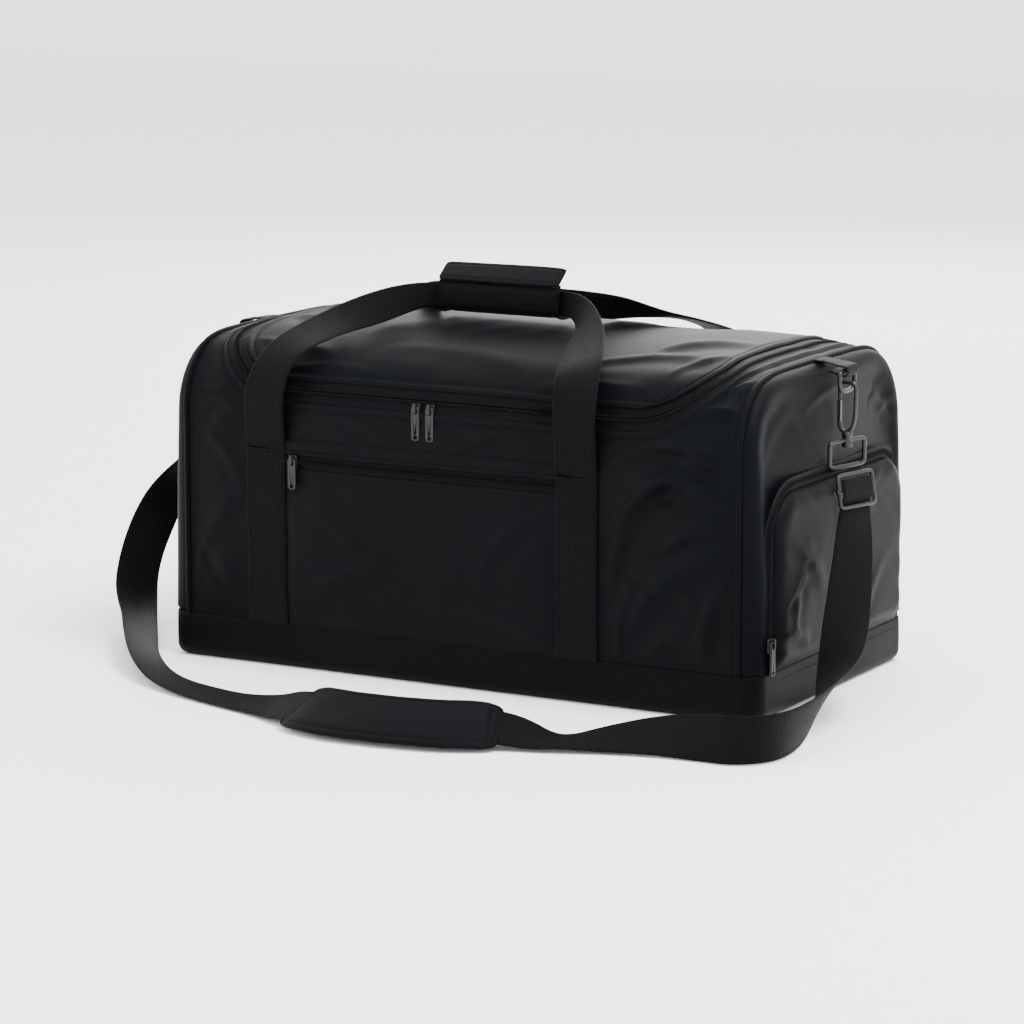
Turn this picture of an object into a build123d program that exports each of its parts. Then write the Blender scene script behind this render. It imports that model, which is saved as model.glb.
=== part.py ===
from build123d import *
from math import cos, radians, sin, sqrt
import os

os.makedirs("parts", exist_ok=True)

# ---------------------------------------------------------------- bag
BAG_LENGTH = 580.0
BAG_DEPTH = 300.0
CROWN_HEIGHT = 300.0
SIDE_DROP = 34.0          # how much lower the crown is at the front and rear walls
END_DROP = 20.0           # how much lower the lengthwise outline is at the ends
END_RISE = 3.0            # the lengthwise outline clears the crown in the middle
BEND_X = 175.0            # where the lengthwise outline starts to fall
SHOULDER_R = 60.0
END_SHOULDER_R = 30.0
CORNER_R = 16.0
BASE_EDGE_R = 10.0
WALL = 3.0
BASE_HEIGHT = 40.0
BASE_PROUD = 1.0
SEAM_X = 272.0            # end panel seams
GUSSET_Z = 262.0          # where the front and rear panels meet the top gusset

# ---------------------------------------------------------------- lid opening
LID_TILT = 45.0           # the opening faces up and forward
LID_HALF = 245.0
LID_FRONT = 70.7          # front run of the zip, along the tilted plane
LID_REAR = 268.0          # fold line of the lid, along the tilted plane
LID_CORNER_R = 70.0
TAPE = 9.0
GAP = 0.8
LID_LOW = 233.0

# ---------------------------------------------------------------- webbing and handles
WEB = 40.0
WEB_T = 2.2
HANDLE_X = -33.0
GRIP_LEAN = 10.0          # the grip stands this far to the right of its feet
GRIP_X = HANDLE_X + GRIP_LEAN
ZIP_MEET_X = -28.0
LEG_X = 154.0
LEG_TOP = 194.0
FOOT_T = 2.5
GRIP_LEN = 118.0
GRIP_Y, GRIP_Z = -22.0, 324.0
WRAP_T = 2.6

# ---------------------------------------------------------------- pockets
FRONT_POCKET_TOP = 181.0
FRONT_POCKET_DEEP = 4.0
SHOE_BULGE = 11.0
SHOE_HALF_Y = 127.0
SHOE_TOP = 190.0

# ---------------------------------------------------------------- hardware
WIRE = 4.0
RING_X = 299.5            # plane of the hanging D-ring
RING_Z = 280.0
RING_IN = 26.0
RING_DROP = 18.0
HOOK_X = 300.5
PAD_W, PAD_T = 55.0, 9.0
SWIVEL = 15.0             # turn of the strap loops towards the front
STRAP_T = 2.0


def box(x0, x1, y0, y1, z0, z1):
    low = (Align.MIN, Align.MIN, Align.MIN)
    return Pos(x0, y0, z0) * Box(x1 - x0, y1 - y0, z1 - z0, align=low)


def soften(face, shoulder, edge):
    """Round the upper pair of corners at the walls and the lower pair."""
    walls = face.vertices().sort_by(Axis.X)
    pair = [walls[0], walls[1], walls[-2], walls[-1]]
    pair.sort(key=lambda v: v.Y)
    face = fillet(pair[2:], shoulder)
    return fillet(face.vertices().sort_by(Axis.Y)[:2], edge)


def side_outline(inset):
    """Cross-section of the bag: upright walls under an arched top."""
    half, low, top = BAG_DEPTH / 2 - inset, inset, CROWN_HEIGHT - inset
    radius = (BAG_DEPTH ** 2 / 4 + SIDE_DROP ** 2) / (2 * SIDE_DROP) - inset
    side = top - radius + sqrt(radius ** 2 - half ** 2)
    arc = ThreePointArc((-half, side), (0, top), (half, side))
    face = make_face(arc + Polyline((half, side), (half, low), (-half, low), (-half, side)))
    return soften(face, SHOULDER_R - inset, BASE_EDGE_R - inset)


def end_outline(inset):
    """Lengthwise outline: level in the middle and falling a little to both ends."""
    half, low, top = BAG_LENGTH / 2 - inset, inset, CROWN_HEIGHT + END_RISE - inset
    side, bend = top - END_DROP, BEND_X - inset
    points = [(-half, low), (half, low), (half, side), (bend, top), (-bend, top), (-half, side)]
    face = make_face(Polyline(*points, close=True))
    return soften(face, END_SHOULDER_R - inset, BASE_EDGE_R - 2 - inset)


def bag_form(inset):
    """The bag's outer form moved in by inset: side outline, end outline and plan together."""
    plan = RectangleRounded(BAG_LENGTH - 2 * inset, BAG_DEPTH - 2 * inset, CORNER_R - inset)
    across = extrude(Plane.YZ * side_outline(inset), BAG_LENGTH, both=True)
    along = extrude(Plane.XZ * end_outline(inset), BAG_DEPTH, both=True)
    upright = extrude(Pos(0, 0, -BAG_DEPTH) * plan, 3 * BAG_DEPTH)
    return upright & across & along


def lid_prism(side, front, rear, corner):
    """D-shaped outline on the tilted plane, pushed through the bag's top."""
    turn = radians(LID_TILT)
    plane = Plane(origin=(0, 0, 0), x_dir=(1, 0, 0), z_dir=(0, -sin(turn), cos(turn)))
    face = Pos(0, (front + rear) / 2) * Rectangle(2 * side, rear - front)
    face = fillet(face.vertices().sort_by(Axis.Y)[:2], corner)
    reach = box(-BAG_LENGTH, BAG_LENGTH, -BAG_DEPTH, BAG_DEPTH, LID_LOW, 2 * CROWN_HEIGHT)
    return extrude(plane * face, 2 * CROWN_HEIGHT, both=True) & reach


def curve(controls, steps):
    """Quadratic B-spline through hand-placed controls of any size, as a list of points."""
    out, last = [], len(controls) - 2
    for i in range(1, last + 1):
        a, b, c = controls[i - 1], controls[i], controls[i + 1]
        start = a if i == 1 else tuple((p + q) / 2 for p, q in zip(a, b))
        end = c if i == last else tuple((p + q) / 2 for p, q in zip(b, c))
        for k in range(steps + (1 if i == last else 0)):
            t = k / steps
            w = ((1 - t) ** 2, 2 * t * (1 - t), t * t)
            out.append(tuple(w[0] * p + w[1] * q + w[2] * r for p, q, r in zip(start, b, end)))
    return out


def ribbon(route, thick, steps=4, wider=0.0):
    """Flat band along a route of (x, y, z, width direction x, y, z, half width)."""
    spots = curve(route, steps)
    loops = []
    for i, s in enumerate(spots):
        here = Vector(*s[:3])
        ahead = Vector(*spots[min(i + 1, len(spots) - 1)][:3])
        behind = Vector(*spots[max(i - 1, 0)][:3])
        along = (ahead - behind).normalized()
        across = Vector(*s[3:6])
        across = (across - along * across.dot(along)).normalized() * (s[6] + wider)
        up = along.cross(across).normalized() * (thick / 2)
        corners = [here + across + up, here - across + up, here - across - up, here + across - up]
        loops.append(Wire.make_polygon(corners, close=True))
    return Solid.make_loft(loops, ruled=True)


nodes = {}

# ---------------------------------------------------------------- shell panels
outer = bag_form(0)
inner = bag_form(WALL)
shell = outer - inner
upper = shell & box(-BAG_LENGTH, BAG_LENGTH, -BAG_DEPTH, BAG_DEPTH, BASE_HEIGHT, 2 * CROWN_HEIGHT)
middle = upper & box(-SEAM_X, SEAM_X, -BAG_DEPTH, BAG_DEPTH, 0, 2 * CROWN_HEIGHT)

tape_zone = lid_prism(LID_HALF + TAPE, LID_FRONT - TAPE, LID_REAR, LID_CORNER_R + TAPE)
opening = lid_prism(LID_HALF, LID_FRONT, LID_REAR, LID_CORNER_R)
lid_zone = lid_prism(LID_HALF - GAP, LID_FRONT + GAP, LID_REAR - GAP, LID_CORNER_R - GAP)
lid_inner = lid_prism(LID_HALF - TAPE, LID_FRONT + TAPE, LID_REAR - GAP, LID_CORNER_R - TAPE)

above = box(-BAG_LENGTH, BAG_LENGTH, -BAG_DEPTH, BAG_DEPTH, GUSSET_Z, 2 * CROWN_HEIGHT)
front_half = box(-BAG_LENGTH, BAG_LENGTH, -BAG_DEPTH, 0, 0, GUSSET_Z)
rear_half = box(-BAG_LENGTH, BAG_LENGTH, 0, BAG_DEPTH, 0, GUSSET_Z)
fixed = middle - tape_zone
nodes["front_panel"] = fixed & front_half
nodes["rear_panel"] = fixed & rear_half
nodes["top_gusset"] = fixed & above
nodes["main_zip_body_tape"] = (middle & tape_zone) - opening
nodes["lid_panel"] = middle & lid_inner
nodes["main_zip_lid_tape"] = (middle & lid_zone) - lid_inner
nodes["right_end_panel"] = upper & box(SEAM_X, BAG_LENGTH, -BAG_DEPTH, BAG_DEPTH, 0, CROWN_HEIGHT)
nodes["left_end_panel"] = upper & box(-BAG_LENGTH, -SEAM_X, -BAG_DEPTH, BAG_DEPTH, 0, CROWN_HEIGHT)

low_zone = box(-BAG_LENGTH, BAG_LENGTH, -BAG_DEPTH, BAG_DEPTH, 0, BASE_HEIGHT)
nodes["base_tray"] = (bag_form(-BASE_PROUD) & low_zone) - inner
BOARD_T, BOARD_CLEAR = 3.0, 16.0
board = RectangleRounded(BAG_LENGTH - 2 * BOARD_CLEAR, BAG_DEPTH - 2 * BOARD_CLEAR, CORNER_R)
nodes["base_board"] = extrude(Pos(0, 0, WALL) * board, BOARD_T)

# ---------------------------------------------------------------- piping
PIPE = 4.0
above_base = box(-BAG_LENGTH, BAG_LENGTH, -BAG_DEPTH, BAG_DEPTH, BASE_HEIGHT, 2 * CROWN_HEIGHT)
pipe_skin = (bag_form(-PIPE / 2) & above_base) - outer
for side, name in ((-1, "left"), (1, "right")):
    mid = side * SEAM_X
    slab = box(mid - PIPE / 2, mid + PIPE / 2, -BAG_DEPTH, BAG_DEPTH, 0, 2 * CROWN_HEIGHT)
    nodes[f"{name}_end_piping"] = pipe_skin & slab

# ---------------------------------------------------------------- handle feet
face_y = BAG_DEPTH / 2
for side, name in ((-1, "left"), (1, "right")):
    mid = HANDLE_X + side * LEG_X
    foot = box(mid - WEB / 2, mid + WEB / 2, -face_y - FOOT_T, -face_y, BASE_HEIGHT, LEG_TOP)
    nodes[f"front_{name}_handle_foot"] = foot
    nodes[f"rear_{name}_handle_foot"] = mirror(foot, about=Plane.XZ)

# ---------------------------------------------------------------- front pocket
pocket_l = HANDLE_X - LEG_X + WEB / 2
pocket_r = HANDLE_X + LEG_X - WEB / 2
deep_y = -face_y - FRONT_POCKET_DEEP
pocket = box(pocket_l, pocket_r, deep_y, -face_y, BASE_HEIGHT, FRONT_POCKET_TOP)
hollow = box(pocket_l + 3, pocket_r - 3, deep_y + 1.4, -face_y, BASE_HEIGHT + 3, FRONT_POCKET_TOP)
nodes["front_pocket_panel"] = pocket - hollow
ZIP_W, ZIP_T = 11.0, 1.8
zip_top = FRONT_POCKET_TOP + ZIP_W
nodes["front_pocket_zip"] = box(pocket_l, pocket_r, -face_y - ZIP_T, -face_y, FRONT_POCKET_TOP, zip_top)
nodes["front_pocket_welt"] = box(pocket_l, pocket_r, -face_y - FOOT_T, -face_y, zip_top, zip_top + 12)

# ---------------------------------------------------------------- shoe pocket on the right end
end_x = BAG_LENGTH / 2
SHOE_CORNER = 38.0


def shoe_outline(grow):
    """Side view of the shoe pocket, rounded at its two upper corners."""
    high = SHOE_TOP + grow
    wide = 2 * (SHOE_HALF_Y + grow)
    face = Pos(0, (BASE_HEIGHT + high) / 2) * Rectangle(wide, high - BASE_HEIGHT)
    face = fillet(face.vertices().sort_by(Axis.Y)[-2:], SHOE_CORNER + grow)
    return Plane(origin=(end_x, 0, 0), x_dir=(0, 1, 0), z_dir=(1, 0, 0)) * face


SHOE_WALL = 2.5
puff = extrude(shoe_outline(0), SHOE_BULGE)
puff = fillet(puff.faces().sort_by(Axis.X)[-1].edges(), SHOE_BULGE - 2)
above_floor = box(end_x, end_x + SHOE_BULGE, -BAG_DEPTH, BAG_DEPTH, BASE_HEIGHT + SHOE_WALL, CROWN_HEIGHT)
room = extrude(shoe_outline(-SHOE_WALL), SHOE_BULGE - SHOE_WALL) & above_floor
room = fillet(room.faces().sort_by(Axis.X)[-1].edges(), SHOE_BULGE - SHOE_WALL - 2)
nodes["shoe_pocket"] = puff - room
strip = extrude(shoe_outline(ZIP_W), ZIP_T) - extrude(shoe_outline(0), ZIP_T)
strip = strip & box(end_x, end_x + ZIP_T, -BAG_DEPTH, SHOE_HALF_Y, BASE_HEIGHT + 6, CROWN_HEIGHT)
nodes["shoe_pocket_zip"] = strip

# ---------------------------------------------------------------- inside slip pocket
slip_y = face_y - WALL
slip = box(-130, 130, slip_y - 6, slip_y, 90, 210)
nodes["inner_slip_pocket"] = slip - box(-127, 127, slip_y - 4.8, slip_y, 93, 210)

# ---------------------------------------------------------------- carry handles
HINGE_Y = face_y + 3.5
front_half_route = [
    (LEG_X, -HINGE_Y, LEG_TOP + 2, 1, 0, 0, 20), (LEG_X, -HINGE_Y - 6, 222, 1, 0, 0, 20),
    (LEG_X - 1, -165, 252, 1, 0, 0, 20), (LEG_X - 8, -150, 284, 1, 0.3, 0.2, 20),
    (LEG_X - 26, -104, 301, 0.9, 0.5, 0.4, 19), (LEG_X - 50, -60, 313, 0.5, 0.4, 0.8, 16),
    (LEG_X - 70, -34, 321, 0.1, 0.2, 1, 12), (GRIP_LEN / 2 + 2, -24, 324, 0, 0, 1, 10),
    (GRIP_LEN / 4, GRIP_Y, GRIP_Z, 0, 0, 1, 10)]
rear_half_route = [
    (LEG_X, HINGE_Y, LEG_TOP + 2, 1, 0, 0, 20), (LEG_X, HINGE_Y + 6, 220, 1, 0, 0, 20),
    (LEG_X - 1, 163, 252, 1, 0, 0, 20), (LEG_X - 8, 146, 281, 1, -0.1, 0, 20),
    (LEG_X - 24, 98, 299, 0.9, -0.4, 0, 19), (LEG_X - 46, 50, 308, 0.7, -0.6, 0.3, 16),
    (LEG_X - 68, 6, 318.5, 0.2, -0.3, 0.9, 12), (GRIP_LEN / 2 + 2, -13, 324, 0, 0, 1, 10),
    (GRIP_LEN / 4, -14, GRIP_Z, 0, 0, 1, 10)]


def both_sides(half):
    """Full handle route from its right half, leaning towards the grip as it rises."""
    foot_z = LEG_TOP + 2
    lean = [GRIP_LEAN * (p[2] - foot_z) / (GRIP_Z - foot_z) for p in half]
    right = [(HANDLE_X + d + p[0], *p[1:]) for d, p in zip(lean, half)]
    left = [(HANDLE_X + d - p[0], p[1], p[2], -p[3], *p[4:]) for d, p in zip(lean, half)]
    return left + right[::-1]


nodes["front_handle_webbing"] = ribbon(both_sides(front_half_route), WEB_T)
nodes["rear_handle_webbing"] = ribbon(both_sides(rear_half_route), WEB_T)

wrap_l, wrap_r = GRIP_X - GRIP_LEN / 2, GRIP_X + GRIP_LEN / 2
WRAP_FRONT, WRAP_BACK, WRAP_LOW, WRAP_HIGH = -31.0, 3.0, 308.5, 338.0
tube_y, tube_z = (WRAP_FRONT + WRAP_BACK) / 2, (WRAP_LOW + WRAP_HIGH) / 2
tube_w, tube_h = WRAP_BACK - WRAP_FRONT, WRAP_HIGH - WRAP_LOW
yz_left = Plane(origin=(wrap_l, 0, 0), x_dir=(0, 1, 0), z_dir=(1, 0, 0))
ring = RectangleRounded(tube_w, tube_h, 9) - RectangleRounded(tube_w - 2 * WRAP_T, tube_h - 2 * WRAP_T, 6)
tube = extrude(yz_left * (Pos(tube_y, tube_z) * ring), GRIP_LEN)
mouth = box(wrap_l - 1, wrap_r + 1, -24, WRAP_BACK + 1, 312.2, WRAP_HIGH + 1)
nodes["grip_wrap"] = tube - mouth

FLAP_Y, FLAP_Z, FLAP_LEN, FLAP_T, FLAP_RISE = -27.5, 340.0, 18.0, 2.4, 38.0
rise = radians(FLAP_RISE)
flap_plane = Plane(origin=(wrap_l - 1, FLAP_Y, FLAP_Z), x_dir=(0, cos(rise), sin(rise)), z_dir=(1, 0, 0))
flap_face = flap_plane * (Pos(FLAP_LEN / 2, 0) * RectangleRounded(FLAP_LEN, FLAP_T, 1))
nodes["grip_flap"] = extrude(flap_face, GRIP_LEN + 2)


# ---------------------------------------------------------------- zip sliders and pulls
def pull_tab(x, y, top, length):
    """Hanging pull plate in an upright plane facing the front, with an eye and a hole."""
    plane = Plane(origin=(x, y, top), x_dir=(1, 0, 0), z_dir=(0, -1, 0))
    face = Pos(0, 3 - length / 2) * RectangleRounded(8, length, 3)
    face -= Pos(0, -1.1) * Rectangle(3.6, 5)
    face -= Pos(0, 6 - length) * Circle(1.8)
    return extrude(plane * face, 1, both=True)


def slider(x, y, z):
    """Zip slider with its plate against the tape and a bridge for the pull."""
    plate = box(x - 4, x + 4, y - 1.8, y, z - 7, z + 5.2)
    bridge = box(x - 1.2, x + 1.2, y - 5.8, y - 1.8, z - 3, z + 5.2)
    return plate + (bridge - box(x - 1.2, x + 1.2, y - 4.7, y - 1.8, z - 1.2, z + 3.9))


MAIN_Y, MAIN_Z = -face_y - 0.4, 241.0
for side, name in ((-1, "left"), (1, "right")):
    x = ZIP_MEET_X + side * 7
    nodes[f"main_zip_{name}_slider"] = slider(x, MAIN_Y, MAIN_Z)
    nodes[f"main_zip_{name}_pull"] = pull_tab(x, MAIN_Y - 3.2, MAIN_Z, 30)

POCKET_SLIDER_X = pocket_l + 9
pocket_y, pocket_z = -face_y - ZIP_T - 2.4, FRONT_POCKET_TOP + ZIP_W / 2
nodes["front_pocket_slider"] = slider(POCKET_SLIDER_X, pocket_y, pocket_z)
nodes["front_pocket_pull"] = pull_tab(POCKET_SLIDER_X, pocket_y - 3.2, pocket_z, 28)

SHOE_SLIDER_Z = 66.0
to_end = Location((end_x + ZIP_T + 0.4, -SHOE_HALF_Y - ZIP_W / 2, SHOE_SLIDER_Z), (0, 0, 90))
nodes["shoe_pocket_slider"] = to_end * slider(0, 0, 0)
nodes["shoe_pocket_pull"] = to_end * pull_tab(0, -3.2, 0, 30)


# ---------------------------------------------------------------- D-rings and their tabs
def d_ring():
    """D-ring hanging in an end-facing plane: straight bar on top, bow below."""
    half, low = RING_IN / 2 + WIRE / 2, RING_Z - RING_DROP
    plane = Plane(origin=(RING_X, 0, 0), x_dir=(0, 1, 0), z_dir=(1, 0, 0))
    wide, high = 2 * half, RING_DROP
    mid = Pos(0, (RING_Z + low) / 2)
    big = mid * Rectangle(wide + WIRE, high + WIRE)
    small = mid * Rectangle(wide - WIRE, high - WIRE)
    big = fillet(big.vertices().sort_by(Axis.Y)[:2], 12)
    small = fillet(small.vertices().sort_by(Axis.Y)[:2], 8)
    ring_solid = extrude(plane * (big - small), WIRE / 2, both=True)
    return fillet(ring_solid.edges().filter_by(GeomType.LINE).filter_by(Axis.Y), 1.2)


def ring_tab():
    """Webbing tab sewn to the end seam and folded round the D-ring's bar."""
    half = RING_IN / 2 - 1.5
    loop = Pos(RING_X, RING_Z) * (Circle(4.4) - Circle(2.4))
    tail_hi = Polyline((RING_X, RING_Z + 2.4), (RING_X, RING_Z + 4.4), (258, 292), (258, 290))
    tail = make_face(tail_hi + Line((258, 290), (RING_X, RING_Z + 2.4)))
    side = Plane(origin=(0, 0, 0), x_dir=(1, 0, 0), z_dir=(0, -1, 0))
    solid = extrude(side * (loop + tail), half, both=True)
    return solid - bag_form(-PIPE / 2)


# ---------------------------------------------------------------- snap hooks
HOOK_T, HOOK_W, HOOK_IN = 5.0, 19.0, 11.0
HOOK_TOP, HOOK_LOW = 269.6, 226.0
GATE_LOW, GATE_HIGH = 234.0, 254.0
hook_plane = Plane(origin=(HOOK_X, 0, (HOOK_TOP + HOOK_LOW) / 2), x_dir=(1, 0, 0), z_dir=(0, -1, 0))


def snap_hook():
    """Crook, spine and swivel boss of the hook, open on the bag side for its gate."""
    high = HOOK_TOP - HOOK_LOW
    face = RectangleRounded(HOOK_W, high, HOOK_W / 2 - 0.1)
    face -= RectangleRounded(HOOK_IN, high - HOOK_W + HOOK_IN, HOOK_IN / 2 - 0.1)
    solid = extrude(hook_plane * face, HOOK_T / 2, both=True)
    solid -= box(HOOK_X - HOOK_W, HOOK_X - 3, -HOOK_T, HOOK_T, GATE_LOW, GATE_HIGH)
    boss = Pos(HOOK_X, 0, 219.9) * Cylinder(4.8, 13)
    return solid + (boss - snap_slot())


def snap_slot():
    """Clearance in the swivel boss for the top bar of the loop."""
    bore = Rotation(0, 0, -SWIVEL) * Rotation(90, 0, 0) * Cylinder(WIRE / 2 + 1.2, 12)
    return Pos(HOOK_X, 0, 219.5) * bore


def hook_gate():
    """Sprung gate that closes the hook's bag side."""
    x = HOOK_X - HOOK_W / 2 + 2
    return box(x - 1.6, x + 1.6, -1.8, 1.8, GATE_LOW + 0.5, GATE_HIGH - 0.5)


def hook_loop():
    """Rectangular wire loop that carries the webbing below the swivel."""
    turn = radians(SWIVEL)
    plane = Plane(origin=(HOOK_X, 0, 208.5), x_dir=(sin(turn), cos(turn), 0), z_dir=(cos(turn), -sin(turn), 0))
    face = RectangleRounded(WEB + 2 + 2 * WIRE, 22 + WIRE, 5) - RectangleRounded(WEB + 2, 22 - WIRE, 3)
    solid = extrude(plane * face, WIRE / 2, both=True)
    return solid


right_side = {"d_ring": d_ring(), "d_ring_tab": ring_tab(), "snap_hook": snap_hook(),
              "snap_hook_gate": hook_gate(), "strap_loop": hook_loop()}
for name, shape in right_side.items():
    nodes[f"right_{name}"] = shape
    nodes[f"left_{name}"] = mirror(shape, about=Plane.YZ)

# ---------------------------------------------------------------- triglide
GLIDE = (311.0, -3.0, 178.5)
lean, turn = radians(10), radians(SWIVEL)
glide_out = (cos(lean) * cos(turn), -cos(lean) * sin(turn), sin(lean))
glide_plane = Plane(origin=GLIDE, x_dir=(sin(turn), cos(turn), 0), z_dir=glide_out)
frame_face = RectangleRounded(WEB + 9, 32, 4) - RectangleRounded(WEB + 2, 24, 2)
glide = extrude(glide_plane * frame_face, 1.25, both=True)
bar = glide_plane * Location((0, 0, -1.2), (0, 90, 0)) * Cylinder(1.6, WEB + 3)
nodes["triglide"] = glide + bar

# ---------------------------------------------------------------- shoulder strap and pad
H = WEB / 2 - 0.5
strap_route = [
    (311.1, -3, 188.7, 0.26, 0.97, 0, H), (313.3, -3.6, 179, 0.26, 0.97, 0, H),
    (313.7, -3.7, 173.4, 0.26, 0.97, 0, H), (309.5, -2.6, 166.1, 0.26, 0.97, 0, H),
    (310.8, -3.5, 157, 0.28, 0.96, 0, H), (314.5, -13, 138, 0.42, 0.9, 0, H),
    (320, -29, 112, 0.55, 0.83, 0, H), (329, -58, 78, 0.68, 0.7, 0.15, H),
    (341, -98, 50, 0.68, 0.5, 0.4, H), (354, -152, 31, 0.45, 0.3, 0.8, H),
    (361, -208, 21.5, 0.2, 0.1, 1, H), (359, -258, 20.5, 0, 0, 1, H),
    (333, -283, 20.5, -0.05, 0.12, 1, H), (298, -276, 18.5, 0, 0.45, 0.88, H),
    (258, -274, 15, 0, 0.75, 0.66, H), (218, -282, 9, 0, 0.93, 0.36, H),
    (181, -298, 4, -0.05, 1, -0.03, H), (150, -310, 13, 0, 0.92, 0.39, H),
    (126, -321, 18, 0, 0.9, 0.43, H), (96, -337, 18.5, 0, 0.88, 0.47, H),
    (52, -345, 18.5, 0, 0.88, 0.47, H), (7, -347, 18.5, 0, 0.88, 0.47, H),
    (-30, -338, 18, 0, 0.9, 0.43, H), (-60, -323, 14, 0, 0.92, 0.39, H),
    (-92, -306, 7, 0.05, 0.97, 0.2, H), (-138, -292, 3, 0.1, 0.99, 0.05, H),
    (-188, -276, 3, 0.25, 0.97, 0, H), (-228, -257, 5, 0.45, 0.88, -0.15, H),
    (-264, -228, 10.5, 0.55, 0.72, -0.4, H), (-305, -180, 15, 0.6, 0.52, -0.6, H),
    (-345, -122, 17, 0.68, 0.5, -0.54, H), (-375, -82, 24, 0.8, 0.5, -0.35, H),
    (-393, -56, 46, 0.85, 0.5, -0.1, H), (-395, -34, 80, 0.8, 0.6, 0, H),
    (-382, -14, 122, 0.55, 0.83, 0.1, H), (-350, -3, 164, 0.1, 1, 0.05, H),
    (-318, 0, 186, -0.2, 0.98, 0, H), (-306.5, 0, 193, -0.26, 0.97, 0, H)]
nodes["shoulder_strap_webbing"] = ribbon(strap_route, STRAP_T, 4)

P = PAD_W / 2
pad_start = tuple((p + q) / 2 for p, q in zip(strap_route[17], strap_route[18]))
pad_end = tuple((p + q) / 2 for p, q in zip(strap_route[22], strap_route[23]))
pad_route = [(*p[:6], P) for p in (pad_start, *strap_route[18:23], pad_end)]
pad = ribbon(pad_route, PAD_T, 4) - ribbon(strap_route[16:25], STRAP_T + 1.4, 8, 1.2)
nodes["shoulder_pad"] = pad

for name, shape in nodes.items():
    export_step(shape, f"parts/{name}.step")
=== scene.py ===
from math import cos, pi, radians, sin

import bpy
import numpy as np
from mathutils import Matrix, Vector


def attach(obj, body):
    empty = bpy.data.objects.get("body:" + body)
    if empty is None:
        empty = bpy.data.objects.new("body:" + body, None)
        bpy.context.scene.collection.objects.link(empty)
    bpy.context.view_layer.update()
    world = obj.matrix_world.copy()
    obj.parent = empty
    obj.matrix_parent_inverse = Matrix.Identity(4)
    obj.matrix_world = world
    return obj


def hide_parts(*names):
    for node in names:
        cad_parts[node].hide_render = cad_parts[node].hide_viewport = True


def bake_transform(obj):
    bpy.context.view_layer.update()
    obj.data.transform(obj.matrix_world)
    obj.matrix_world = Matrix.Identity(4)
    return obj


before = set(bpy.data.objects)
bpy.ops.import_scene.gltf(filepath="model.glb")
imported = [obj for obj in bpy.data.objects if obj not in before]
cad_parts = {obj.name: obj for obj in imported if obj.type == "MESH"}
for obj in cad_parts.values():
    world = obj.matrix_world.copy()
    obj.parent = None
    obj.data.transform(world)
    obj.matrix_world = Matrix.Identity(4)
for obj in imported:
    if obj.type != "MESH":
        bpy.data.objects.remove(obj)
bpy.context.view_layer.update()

bl_info = {
    "name": "Duffel bag",
    "version": (1, 0, 0),
    "blender": (4, 2, 0),
    "location": "View3D > Sidebar > Duffel",
    "description": "Sews a travel duffel bag, its zips, handles, pockets and shoulder strap",
    "category": "Object",
}

MM = 0.001
HALF_X, HALF_Y = 290.0, 150.0
CROWN, DROP, SHOULDER = 300.0, 34.0, 60.0
SEAM_X, BASE_Z = 272.0, 40.0
LID_X, LID_FRONT_S, LID_CORNER = 245.0, 247.5, 76.0
HANDLE_X, LEG_X, WEB = -33.0, 154.0, 40.0
GRIP_LEAN, GRIP_X, SWIVEL = 10.0, -23.0, radians(15.0)
LEG_TOP, POCKET_TOP, ZIP_W = 194.0, 181.0, 11.0
GRIP_LEN = 118.0
SHOE_Y, SHOE_TOP, SHOE_CORNER, SHOE_OUT = 127.0, 190.0, 38.0, 11.0
CLOTH, TAPE = 2.0, 0.6
FLAP_ROOT = (-27.5, 340.0)
ZIP_HEM, SEAM_ROWS = 9.0, (13.5, 16.5)
WIRE_R, HOOK_X, PIPING_R = 1.95, 300.5, 2.1
BASE_X, BASE_Y, BASE_CORNER, BASE_EDGE = 291.0, 151.0, 16.0, 9.0


# ---------------------------------------------------------------- sizes and colours a user may change
class DuffelSizes(bpy.types.PropertyGroup):
    """Sizes of the sewing and of how soft the bag looks."""
    puff: bpy.props.FloatProperty(name="Panel fullness", description="How far panels stand out between their seams",
                                  default=0.004, min=0.0, max=0.012, unit="LENGTH")
    wrinkle: bpy.props.FloatProperty(name="Crease depth", description="Height of the softest creases in the fabric",
                                     default=1.0, min=0.0, max=2.0, subtype="FACTOR")
    thread: bpy.props.FloatProperty(name="Thread pitch", description="Distance between threads of the body fabric",
                                    default=0.0011, min=0.0004, max=0.004, unit="LENGTH")
    stitch: bpy.props.FloatProperty(name="Stitch pitch", description="Distance from one stitch to the next",
                                    default=0.0036, min=0.002, max=0.008, unit="LENGTH")
    tooth: bpy.props.FloatProperty(name="Zip tooth pitch", description="Distance from one zip tooth to the next",
                                   default=0.0024, min=0.001, max=0.006, unit="LENGTH")


class DuffelColours(bpy.types.PropertyGroup):
    """Colours of the cloth, webbing, metal and floor."""
    cloth: bpy.props.FloatVectorProperty(name="Body fabric", description="Colour of the woven body fabric",
                                         default=(0.0009, 0.0013, 0.0019), subtype="COLOR", min=0.0, max=1.0)
    base: bpy.props.FloatVectorProperty(name="Base fabric", description="Colour of the coated base fabric",
                                        default=(0.0006, 0.0009, 0.0014), subtype="COLOR", min=0.0, max=1.0)
    webbing: bpy.props.FloatVectorProperty(name="Webbing", description="Colour of the straps and handles",
                                           default=(0.0009, 0.0012, 0.0017), subtype="COLOR", min=0.0, max=1.0)
    metal: bpy.props.FloatVectorProperty(name="Metal parts", description="Colour of the rings, hooks and pulls",
                                         default=(0.006, 0.0065, 0.0075), subtype="COLOR", min=0.0, max=1.0)
    floor: bpy.props.FloatVectorProperty(name="Floor", description="Colour of the studio floor",
                                         default=(0.96, 0.96, 0.96), subtype="COLOR", min=0.0, max=1.0)


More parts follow.
